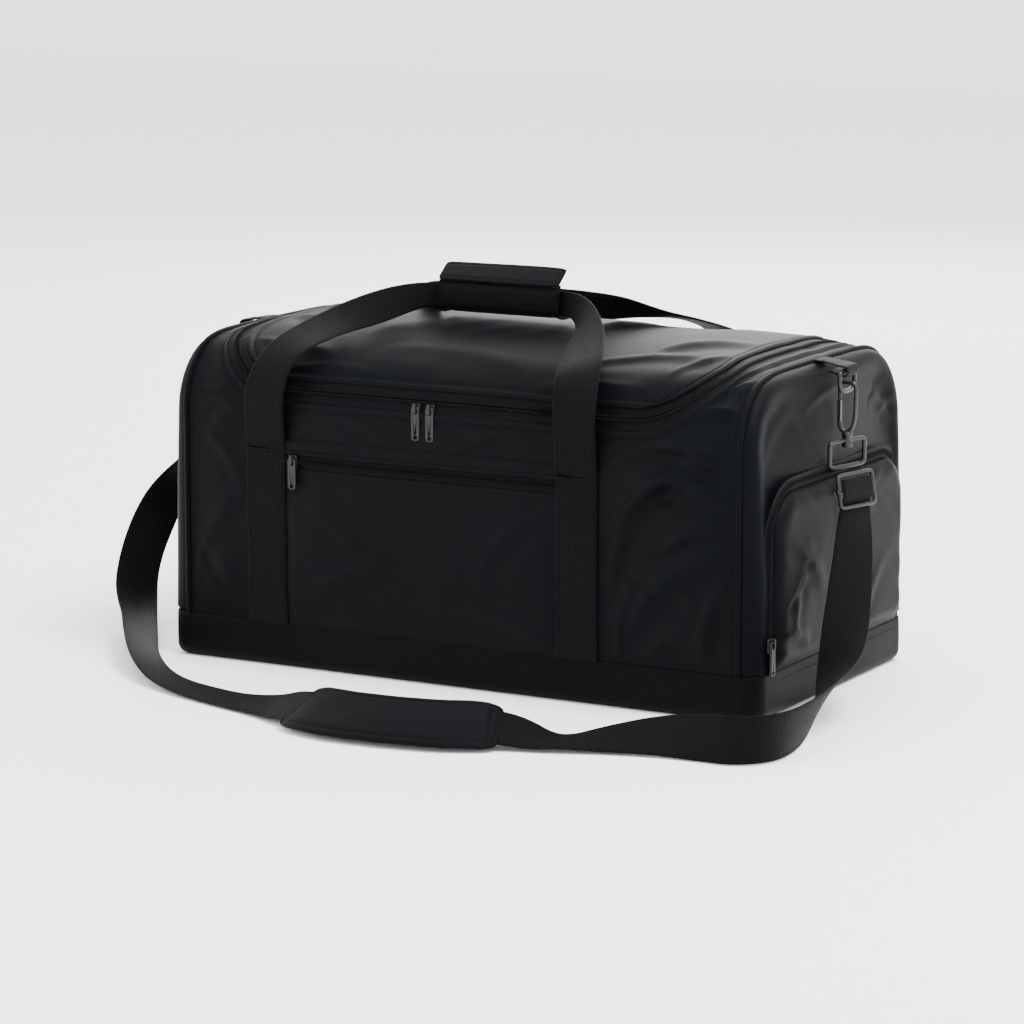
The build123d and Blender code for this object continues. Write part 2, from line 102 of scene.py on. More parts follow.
# ---------------------------------------------------------------- cross-section of the bag
def section_table():
    """Points, outward normals and running length of the section: wall, shoulder arc, crown arc, and their mirror."""
    big = (HALF_Y ** 2 + DROP ** 2) / (2 * DROP)
    low_c = CROWN - big
    arm = big - SHOULDER
    knee = HALF_Y - SHOULDER
    tilt = np.arcsin(knee / arm)
    mid_z = low_c + arm * np.cos(tilt)
    wall_z = np.linspace(0, mid_z, 40)
    turn = np.linspace(pi, pi / 2 + tilt, 40)
    arch = np.linspace(pi / 2 + tilt, pi / 2, 60)
    y = np.concatenate([np.full(40, -HALF_Y), -knee + SHOULDER * np.cos(turn[1:]), big * np.cos(arch[1:])])
    z = np.concatenate([wall_z, mid_z + SHOULDER * np.sin(turn[1:]), low_c + big * np.sin(arch[1:])])
    ny = np.concatenate([np.full(40, -1.0), np.cos(turn[1:]), np.cos(arch[1:])])
    nz = np.concatenate([np.zeros(40), np.sin(turn[1:]), np.sin(arch[1:])])
    y, z = np.concatenate([y, -y[-2::-1]]), np.concatenate([z, z[-2::-1]])
    ny, nz = np.concatenate([ny, -ny[-2::-1]]), np.concatenate([nz, nz[-2::-1]])
    run = np.concatenate([[0], np.cumsum(np.hypot(np.diff(y), np.diff(z)))])
    return run, y, z, ny, nz


RUN, SEC_Y, SEC_Z, SEC_NY, SEC_NZ = section_table()
TOTAL_S = RUN[-1]
FOLD_S = float(np.interp(90.9, SEC_Y[99:], RUN[99:]))


def ridge(a, b, a0, b0, a1, b1, width, height):
    """A soft crease: a bell curve across the line from (a0, b0) to (a1, b1), fading to nothing at both ends."""
    da, db = a1 - a0, b1 - b0
    size = np.hypot(da, db)
    along = ((a - a0) * da + (b - b0) * db) / size ** 2
    off = ((a - a0) * db - (b - b0) * da) / size
    off = off + 0.08 * size * np.sin(pi * np.clip(along, 0, 1))
    width = 0.72 * width * (0.75 + 0.5 * np.clip(along, 0, 1))
    fade = np.sin(pi * np.clip(along, 0, 1)) ** 0.7
    return height * fade * (np.exp(-(off / width) ** 2) - 0.45 * np.exp(-((off - 1.9 * width) / (1.2 * width)) ** 2))


def ripple(a, b, size, turn=0.0):
    """Slow uneven waves: three sines whose phases bend one another, of about the given wavelength."""
    c, s = cos(turn), sin(turn)
    p, q = (a * c + b * s) / size * 2 * pi, (b * c - a * s) / size * 2 * pi
    first = np.sin(p + 1.3 * np.sin(0.63 * q + 0.7))
    second = np.sin(1.37 * q + 1.1 * np.sin(0.52 * p + 2.1) + 0.4)
    third = np.sin(0.71 * (p + q) + 1.9 + 0.8 * np.sin(1.7 * p))
    return (first + 0.8 * second + 0.6 * third) / 2.4


def rise(v, low, high):
    """Smooth step from 0 at low to 1 at high."""
    t = np.clip((v - low) / (high - low), 0, 1)
    return t * t * (3 - 2 * t)


FRONT_CREASES = (
    (160, 60, 262, 150, 13, 3.0), (150, 150, 255, 225, 9, 2.6), (176, 232, 264, 214, 10, 2.8),
    (205, 246, 268, 262, 6, 2.6), (238, 45, 262, 120, 9, 2.2),
    (150, 100, 200, 205, 10, 1.8), (185, 48, 240, 75, 8, 1.8), (150, 215, 205, 236, 6, -1.6),
    (-268, 70, -205, 165, 11, 2.6), (-262, 215, -205, 150, 8, 2.2), (-266, 240, -212, 226, 6, 2.2),
    (-265, 120, -215, 50, 9, 2.0), (-260, 180, -225, 245, 7, -1.8),
    (-150, 228, -60, 214, 6, 1.6), (10, 212, 120, 232, 6, 1.6), (-40, 236, 40, 218, 5, 1.2),
    (-256, 300, -262, 380, 4, 1.6), (255, 300, 262, 372, 4, 1.8), (250, 270, 270, 300, 5, 2.2),
    (166, 236, 222, 262, 5, 2.6), (170, 120, 236, 96, 7, 1.8),
    (170, 196, 266, 186, 11, 3.0), (200, 140, 268, 168, 10, 2.6), (160, 40, 176, 110, 6, 1.8),
    (-214, 262, -258, 238, 5, 2.2), (-236, 60, -262, 100, 5, 1.8), (216, 262, 262, 286, 4, 2.0))
LID_CREASES = (
    (-225, 300, -120, 275, 9, 2.0), (-200, 262, -60, 258, 6, 1.6), (60, 262, 190, 270, 7, 1.6),
    (-235, 380, -150, 330, 13, 2.4), (150, 330, 236, 395, 12, 2.4), (-90, 300, 60, 285, 14, 1.8),
    (100, 300, 215, 330, 9, 1.8), (-180, 440, 60, 455, 14, 1.6), (190, 290, 232, 345, 7, 1.6))


def zip_distance(x, s):
    """Distance to the D-shaped opening line: that of a box with round front corners, open at the rear."""
    out_x = np.abs(x) - (LID_X - LID_CORNER)
    out_s = LID_FRONT_S + LID_CORNER - s
    inside = np.minimum(np.maximum(out_x, out_s), 0)
    return np.abs(np.hypot(np.maximum(out_x, 0), np.maximum(out_s, 0)) + inside - LID_CORNER)


def skin_lift(x, s):
    """How far the cloth stands off the plain form: fullness between seams, creases and slow ripples."""
    sizes = bpy.context.scene.duffel_sizes
    full, deep = sizes.puff / MM, sizes.wrinkle
    inside = rise(SEAM_X - np.abs(x), 0, 45) * rise(s, BASE_Z, BASE_Z + 45) * rise(TOTAL_S - s, BASE_Z, BASE_Z + 45)
    between = np.abs(np.abs(x - HANDLE_X) - LEG_X)
    lift = full * inside * (0.45 + 0.55 * rise(between, 18, 60))
    folds = sum(ridge(x, s, *f) for f in FRONT_CREASES)
    mirrored = sum(ridge(-x, TOTAL_S - s, *f) for f in FRONT_CREASES)
    lid = sum(ridge(x, s, *f) for f in LID_CREASES)
    near_legs = rise(between, 14, 32)
    by_zip = rise(zip_distance(x, s), 9, 30)
    on_lid = rise(LID_X - 6 - np.abs(x), 0, 20) * rise(s, LID_FRONT_S + 6, LID_FRONT_S + 26) * rise(FOLD_S - s, 6, 40)
    pinned = rise(SEAM_X - np.abs(x), 1, 14) * rise(s, BASE_Z, BASE_Z + 12) * rise(TOTAL_S - s, BASE_Z, BASE_Z + 12)
    outside = 0.6 + 0.7 * rise(x - HANDLE_X, -LEG_X, -LEG_X + 60) + 0.6 * rise(x - HANDLE_X, LEG_X + 14, LEG_X + 44)
    lift = lift + deep * by_zip * (outside * (folds + mirrored) * pinned * near_legs * (1 - on_lid) + lid * on_lid)
    waves = 0.55 * ripple(x, s, 120, 0.4) + 0.25 * ripple(x, s, 47, 1.2)
    return lift + deep * pinned * waves * (0.35 + 0.65 * near_legs)


def bag_skin(x, s, lift=0.0, soft=True):
    """Points in mm at x along the bag and s over its section, lift outside it; a soft limit makes the ends droop."""
    x, s = np.broadcast_arrays(np.asarray(x, float), np.asarray(s, float))
    y, z = np.interp(s, RUN, SEC_Y), np.interp(s, RUN, SEC_Z)
    ny, nz = np.interp(s, RUN, SEC_NY), np.interp(s, RUN, SEC_NZ)
    limit = CROWN + 3.0 - 20.0 * np.clip((np.abs(x) - 175.0) / 115.0, 0, 1)
    over = z - limit
    droop = 3.0 * np.log1p(np.exp(np.clip(over / 3.0, -30, 30)))
    out = lift + (skin_lift(x, s) if soft else 0.0)
    return np.stack([x, y + ny * out, z - droop + nz * out], -1)


def skin_normal(x, s):
    """Outward normal from the cross product of the skin's two directions, each by a 1 mm difference."""
    du = bag_skin(x + 1.0, s) - bag_skin(x - 1.0, s)
    dv = bag_skin(x, s + 1.0) - bag_skin(x, s - 1.0)
    n = np.cross(du, dv)
    return n / np.linalg.norm(n, axis=-1, keepdims=True)


def rolled_edge(gap, roll, groove):
    """Height of a turned hem by the distance from its edge: a bell for the roll, less one for the stitched groove."""
    bell = roll * np.exp(-((gap - 3.0) / 2.4) ** 2)
    return bell - groove * np.exp(-((gap - 7.5) / 1.6) ** 2) - 0.8 * np.exp(-gap / 0.8)


def opening_line(offset, count):
    """The D of the lid opening, moved out by offset: left side, quarter circle, front, quarter circle, right side."""
    half, front, r = LID_X + offset, LID_FRONT_S - offset, LID_CORNER + offset
    side = FOLD_S - front - r
    quarter, level = r * pi / 2, 2 * (half - r)
    length = 2 * side + 2 * quarter + level
    d = np.linspace(0, length, count)
    a = np.clip((d - side) / quarter, 0, 1) * pi / 2
    b = np.clip((d - side - quarter - level) / quarter, 0, 1) * pi / 2
    x = -half + r * (1 - np.cos(a)) + np.clip(d - side - quarter, 0, level) + r * np.sin(b)
    s = FOLD_S - np.clip(d, 0, side) - r * np.sin(a) + r * (1 - np.cos(b)) + np.clip(d - length + side, 0, side)
    return x, s


# ---------------------------------------------------------------- mesh making
def lay_surface(name, pts, uv=None, wrap=False, flip=False, caps=False):
    """A mesh over an array of points in mm: each joins the next along both directions, and wrap closes the second."""
    rows, cols = pts.shape[:2]
    i, j = np.meshgrid(np.arange(rows - 1), np.arange(cols if wrap else cols - 1), indexing="ij")
    k = (j + 1) % cols
    quads = np.stack([i * cols + j, (i + 1) * cols + j, (i + 1) * cols + k, i * cols + k], -1).reshape(-1, 4)
    if uv is None:
        along = np.concatenate([np.zeros((1, cols)), np.cumsum(np.linalg.norm(np.diff(pts, axis=0), axis=2), 0)])
        closed = np.concatenate([pts, pts[:, :1]], 1) if wrap else pts
        gaps = np.linalg.norm(np.diff(closed, axis=1), axis=2)
        across = np.concatenate([np.zeros((rows, 1)), np.cumsum(gaps, 1)], 1)
        along = np.concatenate([along, along[:, :1]], 1) if wrap else along
        uv = np.stack([along, across], -1) * MM
    corner = np.stack([uv[i, j], uv[i + 1, j], uv[i + 1, j + 1], uv[i, j + 1]], 2).reshape(-1, 4, 2)
    if flip:
        quads, corner = quads[:, ::-1], corner[:, ::-1]
    faces = quads.tolist()
    ends = np.zeros((0, 2))
    if caps:
        first, last = list(range(cols)), list(range((rows - 1) * cols, rows * cols))
        faces += [first[::-1], last] if not flip else [first, last[::-1]]
        ends = np.zeros((2 * cols, 2))
    mesh = bpy.data.meshes.new(name)
    mesh.from_pydata((pts.reshape(-1, 3) * MM).tolist(), [], faces)
    layer = mesh.uv_layers.new(name="UVMap")
    layer.data.foreach_set("uv", np.concatenate([corner.reshape(-1, 2), ends]).ravel())
    mesh.polygons.foreach_set("use_smooth", np.ones(len(faces), bool))
    mesh.validate()
    obj = bpy.data.objects.new(name, mesh)
    bpy.context.scene.collection.objects.link(obj)
    return obj


def thicken(obj, mm, offset=-1.0):
    """Gives a cloth sheet its thickness, inwards unless offset says otherwise."""
    mod = obj.modifiers.new("Thickness", "SOLIDIFY")
    mod.thickness, mod.offset, mod.use_even_offset = mm * MM, offset, True


def finish_piece(obj, body, slot, mat, *nodes):
    """Gives a piece its material and its body (a bend body leaves it unparented) and hides its CAD nodes; the slot is
    not used.
    """
    obj.data.materials.clear()
    obj.data.materials.append(mat)
    if body in BENDS:
        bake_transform(obj)
    else:
        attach(obj, body)
    if nodes:
        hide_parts(*nodes)
    return obj


def unit(v):
    """Vectors scaled to length one."""
    return v / np.maximum(np.linalg.norm(v, axis=-1, keepdims=True), 1e-9)


def rounded(angle, p, q=None):
    """A superellipse: cosine and sine of each angle with their sizes raised to the powers p and q."""
    c, s = np.cos(angle), np.sin(angle)
    return np.sign(c) * np.abs(c) ** p, np.sign(s) * np.abs(s) ** (q or p)


def ribbon_frame(path, across):
    """Directions along a line, across it (square to the line, nearest to across) and out of its flat face."""
    along = unit(np.gradient(path, axis=0))
    wide = unit(across - along * np.sum(across * along, -1, keepdims=True))
    return along, wide, np.cross(along, wide)


def full_turn(count):
    """Evenly spaced angles round a full turn, the last one short of the first."""
    return np.linspace(0, 2 * pi, count, endpoint=False)


def closed_ring(rows):
    """The rows with the first one repeated at the end."""
    return np.concatenate([rows, rows[:1]])


def grid(x0, x1, nx, s0, s1, ns):
    """Evenly spaced positions along the bag and over its cross-section."""
    return np.meshgrid(np.linspace(x0, x1, nx), np.linspace(s0, s1, ns), indexing="ij")


def join_points(obj, gap=2e-5):
    """Merges points that lie on each other, so that a surface closes on itself."""
    weld = obj.modifiers.new("Join", "WELD")
    weld.merge_threshold = gap


def sew(body, slot, *rows):
    """Stitches that ride on a body: their name, their runs and the thickness of their thread."""
    return finish_piece(stitches(*rows), body, slot, MAT["thread"])


def spline(points, samples):
    """Quadratic B-spline of control rows of any width, ends held, each span sampled evenly."""
    p = np.asarray(points, float)
    mids = (p[1:-2] + p[2:-1]) / 2
    start = np.concatenate([p[:1], mids])
    end = np.concatenate([mids, p[-1:]])
    t = np.linspace(0, 1, samples, endpoint=False)[None, :, None]
    body = (1 - t) ** 2 * start[:, None] + 2 * t * (1 - t) * p[1:-1, None] + t * t * end[:, None]
    return np.concatenate([body.reshape(-1, p.shape[1]), p[-1:]])


def even(path, step):
    """The same line with its points evenly spaced, about step apart."""
    run = np.concatenate([[0], np.cumsum(np.linalg.norm(np.diff(path[:, :3], axis=0), axis=1))])
    at = np.linspace(0, run[-1], max(int(run[-1] / step), 2) + 1)
    return np.stack([np.interp(at, run, path[:, k]) for k in range(path.shape[1])], -1)


def band(name, path, across, half, thick, sides=28):
    """Woven band: a flat superellipse carried along path, half wide each way along across, and thick through."""
    _, wide, up = ribbon_frame(path, across)
    c, t = rounded(full_turn(sides), 0.55, 0.45)
    half = np.broadcast_to(half, (len(path),))[:, None, None]
    pts = path[:, None] + wide[:, None] * half * c[None, :, None] + up[:, None] * thick / 2 * t[None, :, None]
    run = np.concatenate([[0], np.cumsum(np.linalg.norm(np.diff(path, axis=0), axis=1))])
    v = closed_ring(c)[None, :] * half[:, :, 0] + 30
    uv = np.stack([np.broadcast_to(run[:, None], v.shape), v], -1) * MM
    return lay_surface(name, pts, uv, wrap=True, caps=True)


def tube(name, path, radius, closed=False, sides=12):
    """Round rod: a circle carried along path, its frame kept from twisting by one fixed direction."""
    if closed:
        tangent = unit(np.roll(path, -1, 0) - np.roll(path, 1, 0))
    else:
        tangent = unit(np.gradient(path, axis=0))
    ref = np.array([0.31, 0.52, 0.79])
    side = unit(np.cross(tangent, ref))
    up = np.cross(tangent, side)
    a = full_turn(sides)
    r = np.broadcast_to(radius, (len(path),))[:, None, None]
    pts = path[:, None] + r * (np.cos(a)[None, :, None] * side[:, None] + np.sin(a)[None, :, None] * up[:, None])
    if closed:
        pts = closed_ring(pts)
    obj = lay_surface(name, pts, wrap=True, caps=not closed)
    if closed:
        join_points(obj, 1e-5)
    return obj


def stitches(name, runs, thread=0.75):
    """Rows of stitches: along each (path, outward) run, one long six-point bead per pitch, half sunk in the cloth."""
    pitch = bpy.context.scene.duffel_sizes.stitch / MM
    verts, faces, count = [], [], 0
    bead = np.array([[-1, 0, 0], [1, 0, 0], [0, 1, 0], [0, -1, 0], [0, 0, 1], [0, 0, -1]], float)
    skin = np.array([[1, 2, 4], [2, 0, 4], [0, 3, 4], [3, 1, 4], [2, 1, 5], [0, 2, 5], [3, 0, 5], [1, 3, 5]])
    for path, out in runs:
        both = even(np.concatenate([path, out], 1), pitch)
        mid = (both[1:] + both[:-1]) / 2
        here, up = mid[:, :3], unit(mid[:, 3:])
        along = unit(both[1:, :3] - both[:-1, :3])
        side = np.cross(up, along)
        size = (pitch * 0.36, thread * 0.5, thread * 0.45)
        pts = here[:, None] + sum(bead[None, :, k, None] * size[k] * axis[:, None]
                                  for k, axis in enumerate((along, side, up)))
        base = count + 6 * np.arange(len(here))[:, None, None]
        verts.append(pts.reshape(-1, 3))
        faces.append((skin[None] + base).reshape(-1, 3))
        count += 6 * len(here)
    mesh = bpy.data.meshes.new(name)
    mesh.from_pydata((np.concatenate(verts) * MM).tolist(), [], np.concatenate(faces).tolist())
    mesh.uv_layers.new(name="UVMap")
    mesh.polygons.foreach_set("use_smooth", np.ones(len(mesh.polygons), bool))
    obj = bpy.data.objects.new(name, mesh)
    bpy.context.scene.collection.objects.link(obj)
    return obj


def skin_run(x, s, lift=0.3):
    """A line on the bag's skin with its outward directions, for stitches and zips."""
    x, s = np.asarray(x, float), np.asarray(s, float)
    return bag_skin(x, s, lift), skin_normal(x, s)


def straight(p, q, count=40):
    """Evenly spaced numbers from p to q in each coordinate."""
    t = np.linspace(0, 1, count)[:, None]
    return np.asarray(p, float)[None] * (1 - t) + np.asarray(q, float)[None] * t


def zip_half(name, path, out, across, width, inner=0.45):
    """Half a zip: a flat tape from inner to width, beside it a coil whose height follows a sine, one per tooth."""
    pitch = bpy.context.scene.duffel_sizes.tooth / MM
    rows = even(np.concatenate([path, out, across], 1), pitch / 4)
    here, up, side = rows[:, :3], unit(rows[:, 3:6]), unit(rows[:, 6:])
    q = np.concatenate([inner + np.array([0, 0.05, 0.5, 1.1, 1.7, 2.2, 2.5, 3.2]), [width - 0.6, width]])
    h = np.array([-0.3, 0.5, 1.25, 1.5, 1.2, 0.55, 0.15, 0.1, 0.1, 0.0])
    coil = np.array([0.2, 0.5, 1, 1, 1, 0.6, 0, 0, 0, 0])
    beat = np.sin(np.arange(len(here)) * pi / 2 + 0.2)[:, None]
    height = h[None] * (1 + 0.32 * coil[None] * beat)
    shift = q[None] - 0.18 * coil[None] * beat * (q[None] < inner + 0.6)
    pts = here[:, None] + side[:, None] * shift[..., None] + up[:, None] * height[..., None]
    return lay_surface(name, pts)


# ---------------------------------------------------------------- materials
def node(tree, kind, at, **inputs):
    """Adds a shader node; plain words set its properties and link_NAME joins an input to another node's output."""
    item = tree.nodes.new(kind)
    item.location = at
    for key, value in inputs.items():
        if key.startswith("link_"):
            tree.links.new(value, item.inputs[key[5:].replace("_", " ")])
        elif key.startswith("set_"):
            item.inputs[key[4:].replace("_", " ")].default_value = value
        else:
            setattr(item, key, value)
    return item


def new_material(name):
    """An empty material with one shader joined to its output."""
    mat = bpy.data.materials.new(name)
    mat.use_nodes = True
    tree = mat.node_tree
    tree.nodes.clear()
    shader = node(tree, "ShaderNodeBsdfPrincipled", (300, 0))
    out = node(tree, "ShaderNodeOutputMaterial", (600, 0))
    tree.links.new(shader.outputs["BSDF"], out.inputs["Surface"])
    return mat, tree, shader


def two_tone(tree, at, fac, stops, colours):
    """Colour between two: a ramp with one colour at each of the two stops."""
    ramp = node(tree, "ShaderNodeValToRGB", at, link_Fac=fac)
    for item, stop, colour in zip(ramp.color_ramp.elements, stops, colours):
        item.position, item.color = stop, (*colour, 1)
    return ramp.outputs["Color"]


def scaled_sum(tree, at, value, factor, added):
    """A value times a factor, plus another value."""
    item = node(tree, "ShaderNodeMath", at, operation="MULTIPLY_ADD")
    tree.links.new(value, item.inputs[0])
    item.inputs[1].default_value = factor
    tree.links.new(added, item.inputs[2])
    return item.outputs[0]


def uneven_roughness(tree, shader, fac, low, high):
    """Roughness that runs from low to high with fac."""
    spread = node(tree, "ShaderNodeMapRange", (-350, 80), link_Value=fac)
    spread.inputs["To Min"].default_value, spread.inputs["To Max"].default_value = low, high
    tree.links.new(spread.outputs["Result"], shader.inputs["Roughness"])


def cloth_material(name, colour, pitch, rough, sheen, depth, ribs=None, dust=1.35):
    """Woven cloth: two crossed waves on the UV map make the bump, and noise shifts the colour and roughness."""
    mat, tree, shader = new_material(name)
    coord = node(tree, "ShaderNodeTexCoord", (-1100, 0))
    uv, place = coord.outputs["UV"], coord.outputs["Object"]
    jitter = node(tree, "ShaderNodeTexNoise", (-950, -300), link_Vector=uv, set_Scale=900.0, set_Detail=2.0)
    warp = node(tree, "ShaderNodeTexWave", (-750, -100), link_Vector=uv, set_Scale=0.314 / pitch, set_Distortion=0.6,
                bands_direction="X")
    weft = node(tree, "ShaderNodeTexWave", (-750, -350), link_Vector=uv, set_Scale=0.314 / (ribs or pitch),
                set_Distortion=0.5, bands_direction="Y")
    weave = node(tree, "ShaderNodeMath", (-550, -200), operation="ADD")
    tree.links.new(warp.outputs["Fac"], weave.inputs[0])
    tree.links.new(weft.outputs["Fac"], weave.inputs[1])
    fuzz = scaled_sum(tree, (-380, -250), jitter.outputs["Fac"], 0.7, weave.outputs[0])
    bump = node(tree, "ShaderNodeBump", (-150, -250), set_Strength=0.55, set_Distance=depth, link_Height=fuzz)
    cloud = node(tree, "ShaderNodeTexNoise", (-750, 250), link_Vector=place, set_Scale=7.0, set_Detail=5.0)
    fleck = node(tree, "ShaderNodeTexNoise", (-750, 500), link_Vector=uv, set_Scale=1500.0, set_Detail=1.0)
    fade = scaled_sum(tree, (-550, 350), fleck.outputs["Fac"], 0.6, cloud.outputs["Fac"])
    shades = [[c * k for c in colour] for k in (0.78, dust)]
    tree.links.new(two_tone(tree, (-350, 350), fade, (0.45, 1.0), shades), shader.inputs["Base Color"])
    uneven_roughness(tree, shader, cloud.outputs["Fac"], rough - 0.07, rough + 0.06)
    tree.links.new(bump.outputs["Normal"], shader.inputs["Normal"])
    shader.inputs["Sheen Weight"].default_value = sheen
    shader.inputs["Sheen Roughness"].default_value = 0.45
    shader.inputs["Specular IOR Level"].default_value = 0.04
    return mat


def metal_material(name, colour, rough, metallic=0.35):
    """Painted metal: satin paint with fine orange-peel bump, and patches rubbed a little lighter by noise."""
    mat, tree, shader = new_material(name)
    coord = node(tree, "ShaderNodeTexCoord", (-900, 0))
    place = coord.outputs["Object"]
    peel = node(tree, "ShaderNodeTexNoise", (-650, -200), link_Vector=place, set_Scale=900.0, set_Detail=3.0)
    rub = node(tree, "ShaderNodeTexNoise", (-650, 150), link_Vector=place, set_Scale=140.0, set_Detail=6.0)
    shades = (colour, [min(c * 2.1, 1) for c in colour])
    tree.links.new(two_tone(tree, (-350, 350), rub.outputs["Fac"], (0.4, 0.78), shades), shader.inputs["Base Color"])
    uneven_roughness(tree, shader, rub.outputs["Fac"], rough - 0.06, rough + 0.12)
    bump = node(tree, "ShaderNodeBump", (-150, -250), set_Strength=0.25, set_Distance=0.00006,
                link_Height=peel.outputs["Fac"])
    tree.links.new(bump.outputs["Normal"], shader.inputs["Normal"])
    shader.inputs["Metallic"].default_value = metallic
    return mat


def make_materials():
    """All the bag's finishes, made once."""
    tint, sizes = bpy.context.scene.duffel_colours, bpy.context.scene.duffel_sizes
    cloth, base, web, metal = tuple(tint.cloth), tuple(tint.base), tuple(tint.webbing), tuple(tint.metal)
    dark = tuple(c * 0.72 for c in web)
    # cloth: name, colour, thread pitch, roughness, sheen, bump depth; metal: name, colour, roughness, metallic
    return {
        "body_fabric": cloth_material("Woven polyester", cloth, sizes.thread, 0.46, 0.006, 0.00016),
        "base_fabric": cloth_material("Coated base cloth", base, sizes.thread * 1.2, 0.5, 0.01, 0.00012, dust=1.2),
        "webbing": cloth_material("Ribbed webbing", web, 0.0016, 0.55, 0.02, 0.0005, ribs=0.0023),
        "piping": cloth_material("Seam binding", dark, 0.0012, 0.55, 0.02, 0.0002),
        "zip_tape": cloth_material("Zip tape and coil", dark, 0.0010, 0.5, 0.015, 0.0001),
        "padding": cloth_material("Padded grip cloth", cloth, 0.0013, 0.5, 0.02, 0.00022),
        "lining": cloth_material("Thin lining", tuple(c * 1.3 for c in cloth), 0.0009, 0.58, 0.1, 0.0001),
        "thread": cloth_material("Sewing thread", tuple(c * 1.5 for c in cloth), 0.0006, 0.5, 0.03, 0.0001),
        "zip_metal": metal_material("Painted zip metal", tuple(c * 0.4 for c in metal), 0.44, 0.35),
        "hardware": metal_material("Painted steel", metal, 0.36, 0.4),
        "board": metal_material("Stiff plastic board", (0.03, 0.03, 0.032), 0.5, 0.0)}


MAT = {}
# joints that soft pieces cross, though no piece is bent here: the two bodies, where the bend starts and where it ends
BENDS = {
    "lid fold": ("bag_body", "lid", (0, 0.0905, 0.289), (0, 0.052, 0.296)),
    "front leg": ("bag_body", "front_handle", (0, -0.1535, 0.196), (0, -0.158, 0.216)),
    "rear leg": ("bag_body", "rear_handle", (0, 0.1535, 0.196), (0, 0.158, 0.216)),
    "flap root": ("front_handle", "grip_flap", (0, -0.0275, 0.340), (0, -0.0212, 0.3449))}


